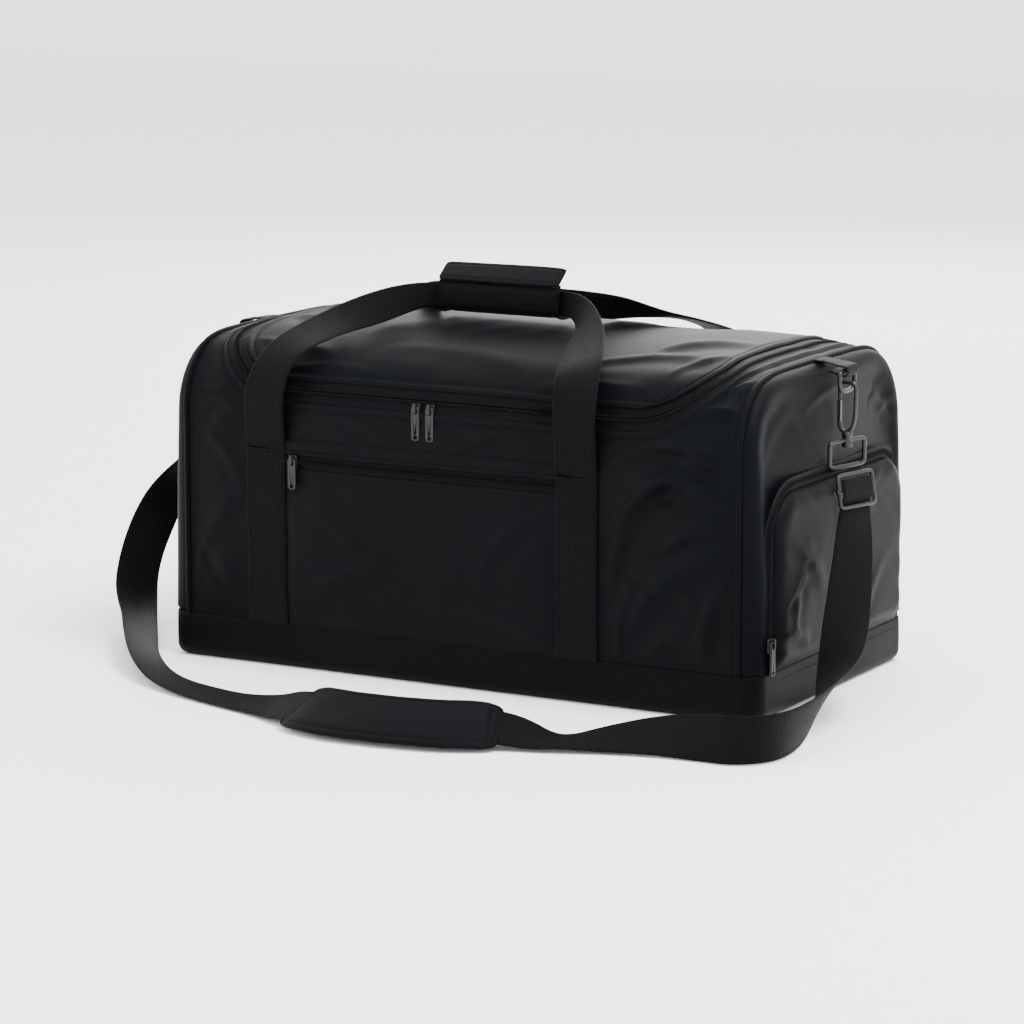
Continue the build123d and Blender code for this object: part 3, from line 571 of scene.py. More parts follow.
# ---------------------------------------------------------------- operators
class DUFFEL_OT_shoulder_strap(bpy.types.Operator):
    """Lays the free shoulder strap and its pad along one smooth route on the floor."""
    bl_idname = "duffel.shoulder_strap"
    bl_label = "Shoulder strap"

    ROUTE = (
        (311.1, -3, 188.7, 0.26, 0.97, 0), (313.3, -3.6, 179, 0.26, 0.97, 0), (313.7, -3.7, 173.4, 0.26, 0.97, 0),
        (309.5, -2.6, 166.1, 0.26, 0.97, 0), (310.8, -3.5, 157, 0.28, 0.96, 0), (314.5, -13, 138, 0.42, 0.9, 0),
        (320, -29, 112, 0.55, 0.83, 0), (329, -58, 78, 0.68, 0.7, 0.15), (341, -98, 50, 0.68, 0.5, 0.4),
        (354, -152, 31, 0.45, 0.3, 0.8), (361, -208, 21.5, 0.2, 0.1, 1), (359, -258, 20.5, 0, 0, 1),
        (333, -283, 20.5, -0.05, 0.12, 1), (298, -276, 18.5, 0, 0.45, 0.88), (258, -274, 15, 0, 0.75, 0.66),
        (218, -282, 9, 0, 0.93, 0.36), (181, -298, 4, -0.05, 1, -0.03), (150, -310, 13, 0, 0.92, 0.39),
        (126, -321, 18, 0, 0.9, 0.43), (96, -337, 18.5, 0, 0.88, 0.47), (52, -345, 18.5, 0, 0.88, 0.47),
        (7, -347, 18.5, 0, 0.88, 0.47), (-30, -338, 18, 0, 0.9, 0.43), (-60, -323, 14, 0, 0.92, 0.39),
        (-92, -306, 7, 0.05, 0.97, 0.2), (-138, -292, 3, 0.1, 0.99, 0.05), (-188, -276, 3, 0.25, 0.97, 0),
        (-228, -257, 5, 0.45, 0.88, -0.15), (-264, -228, 10.5, 0.55, 0.72, -0.4),
        (-305, -180, 15, 0.6, 0.52, -0.6), (-345, -122, 17, 0.68, 0.5, -0.54), (-375, -82, 24, 0.8, 0.5, -0.35),
        (-393, -56, 46, 0.85, 0.5, -0.1), (-395, -34, 80, 0.8, 0.6, 0), (-382, -14, 122, 0.55, 0.83, 0.1),
        (-350, -3, 164, 0.1, 1, 0.05), (-318, 0, 186, -0.2, 0.98, 0), (-306.5, 0, 193, -0.26, 0.97, 0))

    def execute(self, context):
        """The route is a NURBS spline on its control points; the webbing is a band along it, its turn evened out."""
        curve = bpy.data.curves.new("strap_route", "CURVE")
        curve.dimensions = "3D"
        run = curve.splines.new("NURBS")
        run.points.add(len(self.ROUTE) - 1)
        for point, row in zip(run.points, self.ROUTE):
            point.co = (row[0] * MM, row[1] * MM, row[2] * MM, 1)
        run.order_u = 3
        run.use_endpoint_u = True
        run.resolution_u = 14
        holder = bpy.data.objects.new("strap_route", curve)
        context.scene.collection.objects.link(holder)
        line = bpy.data.meshes.new_from_object(holder)
        path = np.empty(len(line.vertices) * 3)
        line.vertices.foreach_get("co", path)
        path = path.reshape(-1, 3) / MM
        bpy.data.objects.remove(holder)
        spans = len(self.ROUTE) - 2
        knots = np.concatenate([[0], np.arange(spans) + 0.5, [spans]])
        at = np.linspace(0, spans, len(path))
        facing = np.array([r[3:] for r in self.ROUTE], float)
        turn = np.stack([np.interp(at, knots, facing[:, k]) for k in range(3)], -1)
        for _ in range(24):
            held = np.concatenate([turn[:1], turn, turn[-1:]])
            turn = 0.25 * held[:-2] + 0.5 * held[1:-1] + 0.25 * held[2:]
        both = even(np.concatenate([path, turn], 1), 3.0)
        strap = band("shoulder_strap", both[:, :3], both[:, 3:], WEB / 2 - 0.5, 2.0)
        finish_piece(strap, "bag_body", "webbing", MAT["webbing"], "shoulder_strap_webbing")
        _, side, up = ribbon_frame(both[:, :3], both[:, 3:])
        rows = [(both[:, :3] + side * 17.0 * e + up * 1.0 * f, up * f) for e in (-1, 1) for f in (-1, 1)]
        sewn = sew("bag_body", "webbing", "strap_edge_stitches", rows, 0.6)
        pad = self.shoulder_pad()
        return {"FINISHED"}

    def shoulder_pad(self):
        """A padded sleeve: a lens profile carried along its line, narrower at its ends, with channels pressed in."""
        rows = np.array(self.ROUTE[17:24], float)
        rows[0], rows[-1] = rows[:2].mean(0), rows[-2:].mean(0)
        both = even(spline(rows, 24), 1.6)
        path, count = both[:, :3], len(both)
        t = np.linspace(-1, 1, count)
        _, wide, up = ribbon_frame(path, both[:, 3:])
        half = 27.0 * (1 - np.abs(t) ** 26) ** 0.5 + 0.5
        c, s = rounded(full_turn(72), 0.8, 0.75)
        across = half[:, None] * c[None]
        seam = np.exp(-((np.abs(across) - 22.0) / 1.3) ** 2)
        ends = np.exp(-((np.abs(t[:, None]) * 98 - 90) / 1.5) ** 2)
        quilt = 1 - 0.45 * np.maximum(seam, ends)
        full = 4.6 * (1 - 0.75 * np.abs(t[:, None]) ** 14) * quilt
        full = full + 0.5 * ripple(t[:, None] * 98, across, 46, 0.5) * (1 - np.abs(c[None]) ** 3)
        pts = path[:, None] + wide[:, None] * across[..., None] + up[:, None] * (full * s[None])[..., None]
        pts[..., 2] = np.maximum(pts[..., 2], 0.4)
        pad = lay_surface("shoulder_pad_cover", pts, wrap=True, caps=True)
        finish_piece(pad, "bag_body", "padding", MAT["padding"], "shoulder_pad")
        u, v = rounded(full_turn(260), 0.25)
        rows = np.stack([np.interp(u, t, path[:, k]) for k in range(3)], -1)
        spread = np.stack([np.interp(u, t, wide[:, k]) for k in range(3)], -1)
        rim = rows + spread * (v * 26.8)[:, None]
        binding = tube("shoulder_pad_binding", rim, 1.5, closed=True, sides=8)
        finish_piece(binding, "bag_body", "piping", MAT["piping"])
        return pad, binding


class DUFFEL_OT_body(bpy.types.Operator):
    """Sews the soft body: front and rear cloth, end panels, piping and the coated base."""
    bl_idname = "duffel.body"
    bl_label = "Body panels"

    def execute(self, context):
        """Each panel is a grid of points on the bag's skin."""
        self.front()
        self.rear()
        for side, name in ((-1, "left"), (1, "right")):
            self.end(side, name)
        self.base()
        return {"FINISHED"}

    def front(self):
        """Cloth round the lid opening: straight blends from the D-shaped line out to the base and end seams."""
        count = 420
        inner = np.stack(opening_line(ZIP_HEM, count), -1)
        r = LID_CORNER + ZIP_HEM
        half, front = LID_X + ZIP_HEM, LID_FRONT_S - ZIP_HEM
        side, quarter, level = FOLD_S - front - r, r * pi / 2, 2 * (half - r)
        length = 2 * side + 2 * quarter + level
        d = np.linspace(0, length, count)
        marks = np.cumsum([0, side, quarter * 0.5, quarter * 0.5, level, quarter * 0.5, quarter * 0.5, side])
        seam_x = np.array([-SEAM_X, -SEAM_X, -SEAM_X, -half + r, half - r, SEAM_X, SEAM_X, SEAM_X])
        low = BASE_Z - 2
        seam_s = np.array([FOLD_S, front + r, low, low, low, low, front + r, FOLD_S])
        outer = np.stack([np.interp(d, marks, seam_x), np.interp(d, marks, seam_s)], -1)
        v = np.linspace(0, 1, 96) ** 1.15
        flat = inner[:, None] * (1 - v[None, :, None]) + outer[:, None] * v[None, :, None]
        gap = np.linalg.norm(flat - inner[:, None], axis=-1)
        pts = bag_skin(flat[..., 0], flat[..., 1], rolled_edge(gap, 1.5, 1.0))
        obj = lay_surface("front_and_side_cloth", pts, flat * MM, flip=True)
        thicken(obj, CLOTH)
        finish_piece(obj, "bag_body", "body_fabric", MAT["body_fabric"], "front_panel")
        rows = [skin_run(*opening_line(off, 500), 0.25) for off in SEAM_ROWS]
        rows.append(skin_run(np.linspace(-268, 268, 300), np.full(300, BASE_Z + 4.0), 0.3))
        sew("bag_body", "body_fabric", "front_seam_stitches", rows)

    def rear(self):
        """Cloth behind the lid's fold, down the rear wall to the base."""
        x, s = grid(-SEAM_X, SEAM_X, 190, FOLD_S, TOTAL_S - BASE_Z + 2, 120)
        tuck = -0.8 * np.exp(-(s - FOLD_S) / 1.0) + 0.9 * np.exp(-((s - FOLD_S - 4) / 2.2) ** 2)
        obj = lay_surface("rear_cloth", bag_skin(x, s, tuck), np.stack([x, s], -1) * MM)
        thicken(obj, CLOTH)
        finish_piece(obj, "bag_body", "body_fabric", MAT["body_fabric"], "rear_panel", "top_gusset")
        line = np.linspace(-268, 268, 300)
        rows = [skin_run(line, np.full(300, at), 0.3) for at in (TOTAL_S - BASE_Z - 4.0, FOLD_S + 8.0)]
        sew("bag_body", "body_fabric", "rear_seam_stitches", rows)

    def end(self, side, name):
        """Round-shouldered end: rings from the seam inwards that rise as a quarter ellipse, then run nearly flat."""
        s = np.linspace(BASE_Z, TOTAL_S - BASE_Z, 300)
        rim = bag_skin(np.full(300, side * SEAM_X), s, 0.0)[:, 1:]
        foot = straight(rim[-1], rim[0], 90)[1:-1]
        rim = np.concatenate([rim, foot])
        mid = np.array([0.0, 150.0])
        reach = np.linalg.norm(rim - mid, axis=1)
        rho = 1 - np.linspace(0, 1, 74) ** 1.5
        spot = mid + (rim - mid)[:, None] * rho[None, :, None]
        depth = reach[:, None] * (1 - rho[None])
        bearing = np.arctan2(rim[:, 1] - 150, np.abs(rim[:, 0]))
        grow = np.interp(bearing, [-0.7, -0.6, 0.1, 0.5, 1.0], [10, 12, 14, 20, 30])
        low = rise(spot[..., 1], BASE_Z - 2, BASE_Z + 26)
        bend = np.sqrt(1 - (1 - np.clip(depth / grow[:, None], 0, 1)) ** 2)
        y, z = spot[..., 0], spot[..., 1]
        corner = np.sqrt(1 - (1 - np.clip((HALF_Y - np.abs(y)) / 14, 0, 1)) ** 2)
        floor_bend = bend + np.maximum(corner - bend, 0) * (1 - rise(z, BASE_Z + 4, BASE_Z + 60))
        full = 3.0 * np.cos(np.clip(y / 150, -1, 1) * pi / 2) * np.sin(np.clip((z - 40) / 245, 0, 1) * pi)
        folds = sum(ridge(y, z, *f) for f in (
            (-140, 262, -60, 236, 8, 2.4), (-138, 205, -70, 262, 9, 2.0), (60, 262, 140, 205, 8, 2.4),
            (-60, 250, 40, 262, 6, 1.8), (70, 236, 120, 262, 6, -1.8), (-142, 120, -136, 225, 6, 1.6),
            (136, 90, 144, 215, 7, 2.0), (100, 225, 144, 240, 6, 2.0)))
        lean = (3.0 + 9.0 * rise(np.abs(y), 30, 125)) * rise(z, 110, 285) * rise(depth, 0, 30)
        soft = (full + 0.6 * folds + 0.6 * ripple(y, z, 110, 0.9)) * rise(depth, 1, 20) * low - lean
        x = side * (SEAM_X + 17.8 * floor_bend + soft)
        pts = np.stack([x, y, z], -1)
        uv = np.stack([y, z], -1) * MM
        obj = lay_surface(f"{name}_end_cloth", closed_ring(pts), closed_ring(uv), flip=side > 0)
        join_points(obj)
        thicken(obj, CLOTH)
        finish_piece(obj, "bag_body", "body_fabric", MAT["body_fabric"], f"{name}_end_panel")
        line = bag_skin(np.full(400, side * SEAM_X), np.linspace(BASE_Z - 3, TOTAL_S - BASE_Z + 3, 400), 1.0)
        cordline = tube(f"{name}_end_piping_roll", even(line, 2.5), PIPING_R, sides=10)
        finish_piece(cordline, "bag_body", "piping", MAT["piping"], f"{name}_end_piping")
        along = np.linspace(BASE_Z + 6, TOTAL_S - BASE_Z - 6, 500)
        beside = skin_run(np.full(500, side * (SEAM_X - 6.0)), along, 0.3)
        sew("bag_body", "body_fabric", f"{name}_end_seam_stitches", [beside])

    def base(self):
        """Coated base: a rounded outline carried along the underside, round the lower edge and up to a turned hem."""
        count, r = 720, BASE_EDGE
        edge = np.linspace(0, pi / 2, 9)
        inset = np.concatenate([np.full(5, r), r * (1 - np.sin(edge)), np.zeros(14), [0.0, 0.8, 1.9, 2.2]])
        scale = np.concatenate([[0.0, 0.3, 0.6, 0.85, 0.94], np.ones(9 + 14 + 4)])
        wall = np.linspace(r + 1.5, 37.5, 14)
        z = np.concatenate([np.zeros(5), r * (1 - np.cos(edge)), wall, [38.8, 39.8, 39.9, 37.0]])

        def outline(cut):
            """Rounded rectangle by its running length, its straight sides cut in by the given amounts."""
            hx, hy, rr = BASE_X - cut, BASE_Y - cut, BASE_CORNER - np.minimum(cut, 10)
            arc = pi / 2 * rr
            per = np.stack([hy - rr, arc, 2 * (hx - rr), arc, 2 * (hy - rr), arc, 2 * (hx - rr), arc, hy - rr], -1)
            stops = np.concatenate([np.zeros(per.shape[:-1] + (1,)), np.cumsum(per, -1)], -1)
            f = np.arange(count) / count
            out = []
            for k in range(len(cut)):
                a, b, q = hx[k], hy[k], rr[k]
                d = f * stops[k, -1]
                px = np.interp(d, stops[k], [a, a, a - q, -a + q, -a, -a, -a + q, a - q, a, a])
                py = np.interp(d, stops[k], [0, b - q, b, b, b - q, -b + q, -b, -b, -b + q, 0])
                cx, cy = np.clip(px, -a + q, a - q), np.clip(py, -b + q, b - q)
                in_corner = (np.abs(px) > a - q) & (np.abs(py) > b - q)
                vx, vy = px - cx, py - cy
                fix = q / np.maximum(np.hypot(vx, vy), 1e-6)
                px, py = np.where(in_corner, cx + vx * fix, px), np.where(in_corner, cy + vy * fix, py)
                out.append(np.stack([px, py], -1))
            return np.stack(out, 1)

        flat = outline(inset) * scale[None, :, None]
        fx, fy = flat[..., 0], flat[..., 1]
        bulge = 0.7 * np.sin(np.clip(z / BASE_Z, 0, 1) * pi)[None] * (1 + 0.5 * ripple(fx, fy, 150, 0.3))
        away = unit(np.stack([fx ** 3 / BASE_X ** 4, fy ** 3 / BASE_Y ** 4], -1))
        flat = flat + away * (bulge * (scale[None] > 0.99))[..., None]
        high = np.broadcast_to(z[None], flat.shape[:2])
        pts = np.concatenate([flat, high[..., None]], -1)
        obj = lay_surface("coated_base", closed_ring(pts))
        join_points(obj)
        thicken(obj, CLOTH)
        finish_piece(obj, "bag_body", "base_fabric", MAT["base_fabric"], "base_tray")
        hem = pts[:, 5 + 9 + 10]
        out = np.concatenate([away[:, 24], np.zeros((count, 1))], -1)
        sew("bag_body", "base_fabric", "base_hem_stitches", [(hem + out * 0.2, out)])


class DUFFEL_OT_lid(bpy.types.Operator):
    """Sews the fold-back lid and both halves of its D-shaped zip."""
    bl_idname = "duffel.lid"
    bl_label = "Lid and main zip"

    def execute(self, context):
        """Rows over the bag from front to fold, each as wide as the D at its place, laid on the bag's skin."""
        r, half, front = LID_CORNER - ZIP_HEM, LID_X - ZIP_HEM, LID_FRONT_S + ZIP_HEM
        s = front + (FOLD_S - front) * (1 - np.cos(np.linspace(0, pi / 2, 130))) ** 0.95
        away = np.clip(r - (s - front), 0, r)
        wide = half - r + np.sqrt(np.maximum(r * r - away * away, 0))
        u = np.sin(np.linspace(-1, 1, 210) * pi / 2 * 0.92) / sin(pi / 2 * 0.92)
        x = wide[None] * u[:, None]
        ss = np.broadcast_to(s[None], x.shape)
        edge = np.minimum(np.minimum(wide[None] - np.abs(x), ss - front), 60)
        lid = lay_surface("lid_cloth", bag_skin(x, ss, rolled_edge(edge, 1.4, 0.9)), np.stack([x, ss], -1) * MM)
        thicken(lid, CLOTH)
        finish_piece(lid, "lid fold", "body_fabric", MAT["body_fabric"], "lid_panel")
        rows = [skin_run(*opening_line(-off, 460), 0.25) for off in SEAM_ROWS]
        sew("lid fold", "body_fabric", "lid_edge_stitches", rows)
        for name, body, sign, node_name in (("main_zip_lid_half", "lid fold", -1, "main_zip_lid_tape"),
                                            ("main_zip_body_half", "bag_body", 1, "main_zip_body_tape")):
            line, aside = opening_line(0.0, 1500), opening_line(2.0 * sign, 1500)
            path = bag_skin(*line, -1.6)
            half_zip = zip_half(name, path, skin_normal(*line), unit(bag_skin(*aside, -1.6) - path), 10.5)
            thicken(half_zip, 0.7)
            finish_piece(half_zip, body, "zip_tape", MAT["zip_tape"], node_name)
        return {"FINISHED"}


class DUFFEL_OT_handles(bpy.types.Operator):
    """Sews the carry handles: four stitched feet, two standing loops, the padded grip and its flap."""
    bl_idname = "duffel.handles"
    bl_label = "Carry handles"

    FRONT = (
        (154, -153.5, 196, 1, 0, 0, 20), (154, -159.5, 222, 1, 0, 0, 20), (153, -165, 252, 1, 0, 0, 20),
        (146, -150, 284, 1, 0.3, 0.2, 20), (128, -104, 301, 0.9, 0.5, 0.4, 19), (104, -60, 313, 0.5, 0.4, 0.8, 16),
        (84, -34, 321, 0.1, 0.2, 1, 12), (61, -24, 324, 0, 0, 1, 10), (29.5, -22, 324, 0, 0, 1, 10))
    REAR = (
        (154, 153.5, 196, 1, 0, 0, 20), (154, 159.5, 220, 1, 0, 0, 20), (153, 163, 252, 1, 0, 0, 20),
        (146, 146, 281, 1, -0.1, 0, 20), (130, 98, 299, 0.9, -0.4, 0, 19), (108, 50, 308, 0.7, -0.6, 0.3, 16),
        (86, 6, 318.5, 0.2, -0.3, 0.9, 12), (61, -13, 324, 0, 0, 1, 10), (29.5, -14, 324, 0, 0, 1, 10))

    def loop(self, name, half, body, node_name):
        """One handle: a B-spline from foot to foot through the grip, with the width direction carried along it."""
        h = np.array(half, float)
        right, left = h.copy(), h.copy()
        lean = GRIP_LEAN * (h[:, 2] - 196) / 128
        right[:, 0] = HANDLE_X + lean + h[:, 0]
        left[:, 0] = HANDLE_X + lean - h[:, 0]
        left[:, 3] = -h[:, 3]
        rows = even(spline(np.concatenate([left, right[::-1]]), 20), 2.5)
        obj = band(name, rows[:, :3], rows[:, 3:6], rows[:, 6], 2.2)
        finish_piece(obj, body, "webbing", MAT["webbing"], node_name)
        _, side, up = ribbon_frame(rows[:, :3], rows[:, 3:6])
        edge = side * (rows[:, 6:7] - 3.0)
        runs = [(rows[:, :3] + edge * e + up * 1.05 * f, up * f) for e in (-1, 1) for f in (-1, 1)]
        sew(body, "webbing", f"{name}_stitches", runs, 0.6)

    def foot(self, name, mid, front):
        """Webbing sewn flat to the wall from the base to the leg, with edge stitches, a bar and a crossed box."""
        low, high = BASE_Z - 2, LEG_TOP + 1
        s = np.linspace(low, high, 80)
        at = s if front else TOTAL_S - s
        path = bag_skin(np.full(80, mid), at, 1.5, soft=False)
        lift = skin_lift(np.full(80, mid), at)
        path[:, 1] += (-1 if front else 1) * np.maximum(lift, 0)
        across = np.tile([1.0, 0, 0] if front else [-1.0, 0, 0], (80, 1))
        obj = band(name, path, across, WEB / 2, 2.4)
        node_name = f"{'front' if front else 'rear'}_{'left' if mid < HANDLE_X else 'right'}_handle_foot"
        finish_piece(obj, "bag_body", "webbing", MAT["webbing"], node_name)
        out = np.array([0, -1.0 if front else 1.0, 0])

        def seam(a, b):
            """A line of stitches on the foot from (side, height) a to b."""
            uv = straight(a, b, 60)
            base = np.stack([np.interp(uv[:, 1], s, path[:, k]) for k in range(3)], -1)
            base[:, 0] = mid + uv[:, 0]
            return base + out * 1.35, np.tile(out, (60, 1))

        runs = [seam((e * 17, low + 4), (e * 17, high - 3)) for e in (-1, 1)]
        runs += [seam((-17, h), (17, h)) for h in (high - 3, high - 6, high - 34)]
        runs += [seam((-17, high - 34), (17, high - 6)), seam((17, high - 34), (-17, high - 6))]
        sew("bag_body", "webbing", f"{name}_stitches", runs, 0.7)

    def grip(self):
        """Padded wrap: a folded C profile, fuller in the middle, carried along the grip and bound at both ends."""
        spine = ((-25.0, 337.2), (-29.6, 334.0), (-29.9, 324.0), (-29.0, 313.0), (-22.0, 309.9), (-10.0, 309.6),
                 (1.0, 310.6))
        line = spline(spine, 10)
        tang = unit(np.gradient(line, axis=0))
        norm = np.stack([tang[:, 1], -tang[:, 0]], -1)
        taper = np.sqrt(np.clip(1 - np.linspace(-1, 1, len(line)) ** 8, 0.02, 1))
        x = np.linspace(-GRIP_LEN / 2, GRIP_LEN / 2, 90)
        full = 1 - 0.35 * np.exp(-((np.abs(x) - 52) / 1.6) ** 2)
        wave = ripple(x[:, None], np.arange(len(line))[None] * 4.0, 36, 0.3)
        soft = full[:, None] * (1.9 + 0.16 * wave) * taper[None]
        puff = norm[None] * soft[..., None]
        loop = np.concatenate([line[None] - puff, (line[None] + puff * 0.85)[:, ::-1]], 1)
        xs = np.broadcast_to((GRIP_X + x)[:, None, None], loop.shape[:2] + (1,))
        pts = np.concatenate([xs, loop], -1)
        wrap = lay_surface("grip_wrap_cover", pts, wrap=True, caps=True, flip=True)
        finish_piece(wrap, "front_handle", "padding", MAT["padding"], "grip_wrap")
        for k, name in ((0, "left"), (-1, "right")):
            bind = tube(f"grip_binding_{name}", pts[k], 1.1, closed=True, sides=8)
            finish_piece(bind, "front_handle", "piping", MAT["piping"])
        runs = []
        for x0 in (-54.5, 54.5):
            row = np.concatenate([np.full((len(line), 1), GRIP_X + x0), line - norm * 1.75], 1)
            runs.append((row, np.concatenate([np.zeros((len(line), 1)), -norm], 1)))
        sew("front_handle", "padding", "grip_stitches", runs, 0.6)

    def on_flap(self, x, u, v, reach, lift=0.0):
        """Points of the flap: x along the grip, v from root to edge of a tilted plane with a slight sine wave."""
        up, along = radians(38), 7.2 + v * reach
        h = lift + 0.5 * np.sin(u * 2.4 + 0.4) * (v + 1) / 2
        y, z = along * cos(up) - h * sin(up), along * sin(up) + h * cos(up)
        return np.stack([GRIP_X + x, FLAP_ROOT[0] + y, FLAP_ROOT[1] + z], -1)

    def flap(self):
        """Padded flap: a pillow on a rounded rectangle, thin at its rim, standing up and back from the wrap."""
        u, v = grid(-1, 1, 90, -1, 1, 30)
        full = ((1 - np.abs(u) ** 16) * (1 - np.abs(v) ** 6)) ** 0.5
        thick = 1.5 * full * (1 - 0.35 * np.exp(-((np.abs(v) - 0.72) / 0.06) ** 2)) + 0.05
        top, low = (self.on_flap(u * (GRIP_LEN / 2 + 0.8), u, v, 10.8, sign * thick) for sign in (1, -1))
        ring = np.concatenate([top, low[:, ::-1]], 1)
        flap = lay_surface("grip_flap_cover", ring, wrap=True, caps=True, flip=True)
        finish_piece(flap, "flap root", "padding", MAT["padding"], "grip_flap")
        u, v = rounded(full_turn(240), 0.18)
        rim = self.on_flap(u * (GRIP_LEN / 2 + 0.4), u, v, 10.6)
        bind = tube("grip_flap_binding", rim, 1.15, closed=True, sides=8)
        finish_piece(bind, "flap root", "piping", MAT["piping"])

    def execute(self, context):
        """Two loops, four feet, the grip and its flap."""
        self.loop("front_handle_loop", self.FRONT, "front leg", "front_handle_webbing")
        self.loop("rear_handle_loop", self.REAR, "rear leg", "rear_handle_webbing")
        for side, name in ((-1, "left"), (1, "right")):
            self.foot(f"front_{name}_foot", HANDLE_X + side * LEG_X, True)
            self.foot(f"rear_{name}_foot", HANDLE_X + side * LEG_X, False)
        self.grip()
        self.flap()
        return {"FINISHED"}


class DUFFEL_OT_front_pocket(bpy.types.Operator):
    """Sews the front pocket between the handle feet, its zip and the welt above it."""
    bl_idname = "duffel.front_pocket"
    bl_label = "Front pocket"

    def execute(self, context):
        """Cloth, zip and welt are strips of the bag's skin, each lifted by its fullness, creases and turned edges."""
        left, right = HANDLE_X - LEG_X + WEB / 2 - 3, HANDLE_X + LEG_X - WEB / 2 + 3
        x, s = grid(left, right, 150, BASE_Z - 2, POCKET_TOP - 0.5, 80)
        body = rise(np.minimum(x - left, right - x), 0, 14) * rise(s, BASE_Z - 2, BASE_Z + 14)
        folds = sum(ridge(x, s, *f) for f in (
            (-150, 60, -60, 100, 11, 1.8), (0, 70, 95, 50, 10, 1.6), (-60, 165, 60, 150, 9, 1.4),
            (30, 110, 98, 165, 10, 1.8), (-150, 150, -90, 110, 9, 1.4)))
        body = body * (1 - 0.7 * rise(s, 130, 160))
        below = POCKET_TOP - s
        hem = 0.6 * np.exp(-((below - 3) / 2) ** 2) - 0.8 * np.exp(-below)
        lift = 0.8 + 2.4 * body + body * folds + hem
        obj = lay_surface("front_pocket_cloth", bag_skin(x, s, lift), np.stack([x, s], -1) * MM)
        thicken(obj, 1.2)
        finish_piece(obj, "bag_body", "body_fabric", MAT["body_fabric"], "front_pocket_panel")
        mid = POCKET_TOP + ZIP_W / 2
        line = np.linspace(left + 3, right - 3, 300)
        path, out = skin_run(line, np.full(300, mid), 0.6)
        for sign, name in ((-1, "lower"), (1, "upper")):
            across = unit(bag_skin(line, np.full(300, mid + 2.0 * sign), 0.6) - path)
            half = zip_half(f"front_pocket_zip_{name}", path, out, across, 6.5, inner=0.12)
            thicken(half, TAPE)
            finish_piece(half, "bag_body", "zip_tape", MAT["zip_tape"], *(["front_pocket_zip"] if sign > 0 else []))
        x, s = grid(left, right, 150, mid + 4.2, mid + 19.0, 26)
        fold = s - (mid + 4.2)
        lift = 2.2 - 1.6 * np.exp(-fold / 0.9) - 0.9 * np.exp(-((fold - 4.5) / 1.1) ** 2) - 1.7 * rise(fold, 11, 14.8)
        welt = lay_surface("front_pocket_welt_cloth", bag_skin(x, s, lift), np.stack([x, s], -1) * MM)
        thicken(welt, 1.2)
        finish_piece(welt, "bag_body", "body_fabric", MAT["body_fabric"], "front_pocket_welt")
        line = np.linspace(left + 4, right - 4, 400)
        heights = ((mid + 8.7, 1.5), (POCKET_TOP - 7.0, 3.4), (mid + 16.5, 0.9))
        rows = [skin_run(line, np.full(400, at), lift) for at, lift in heights]
        sew("bag_body", "body_fabric", "front_pocket_stitches", rows)
        return {"FINISHED"}


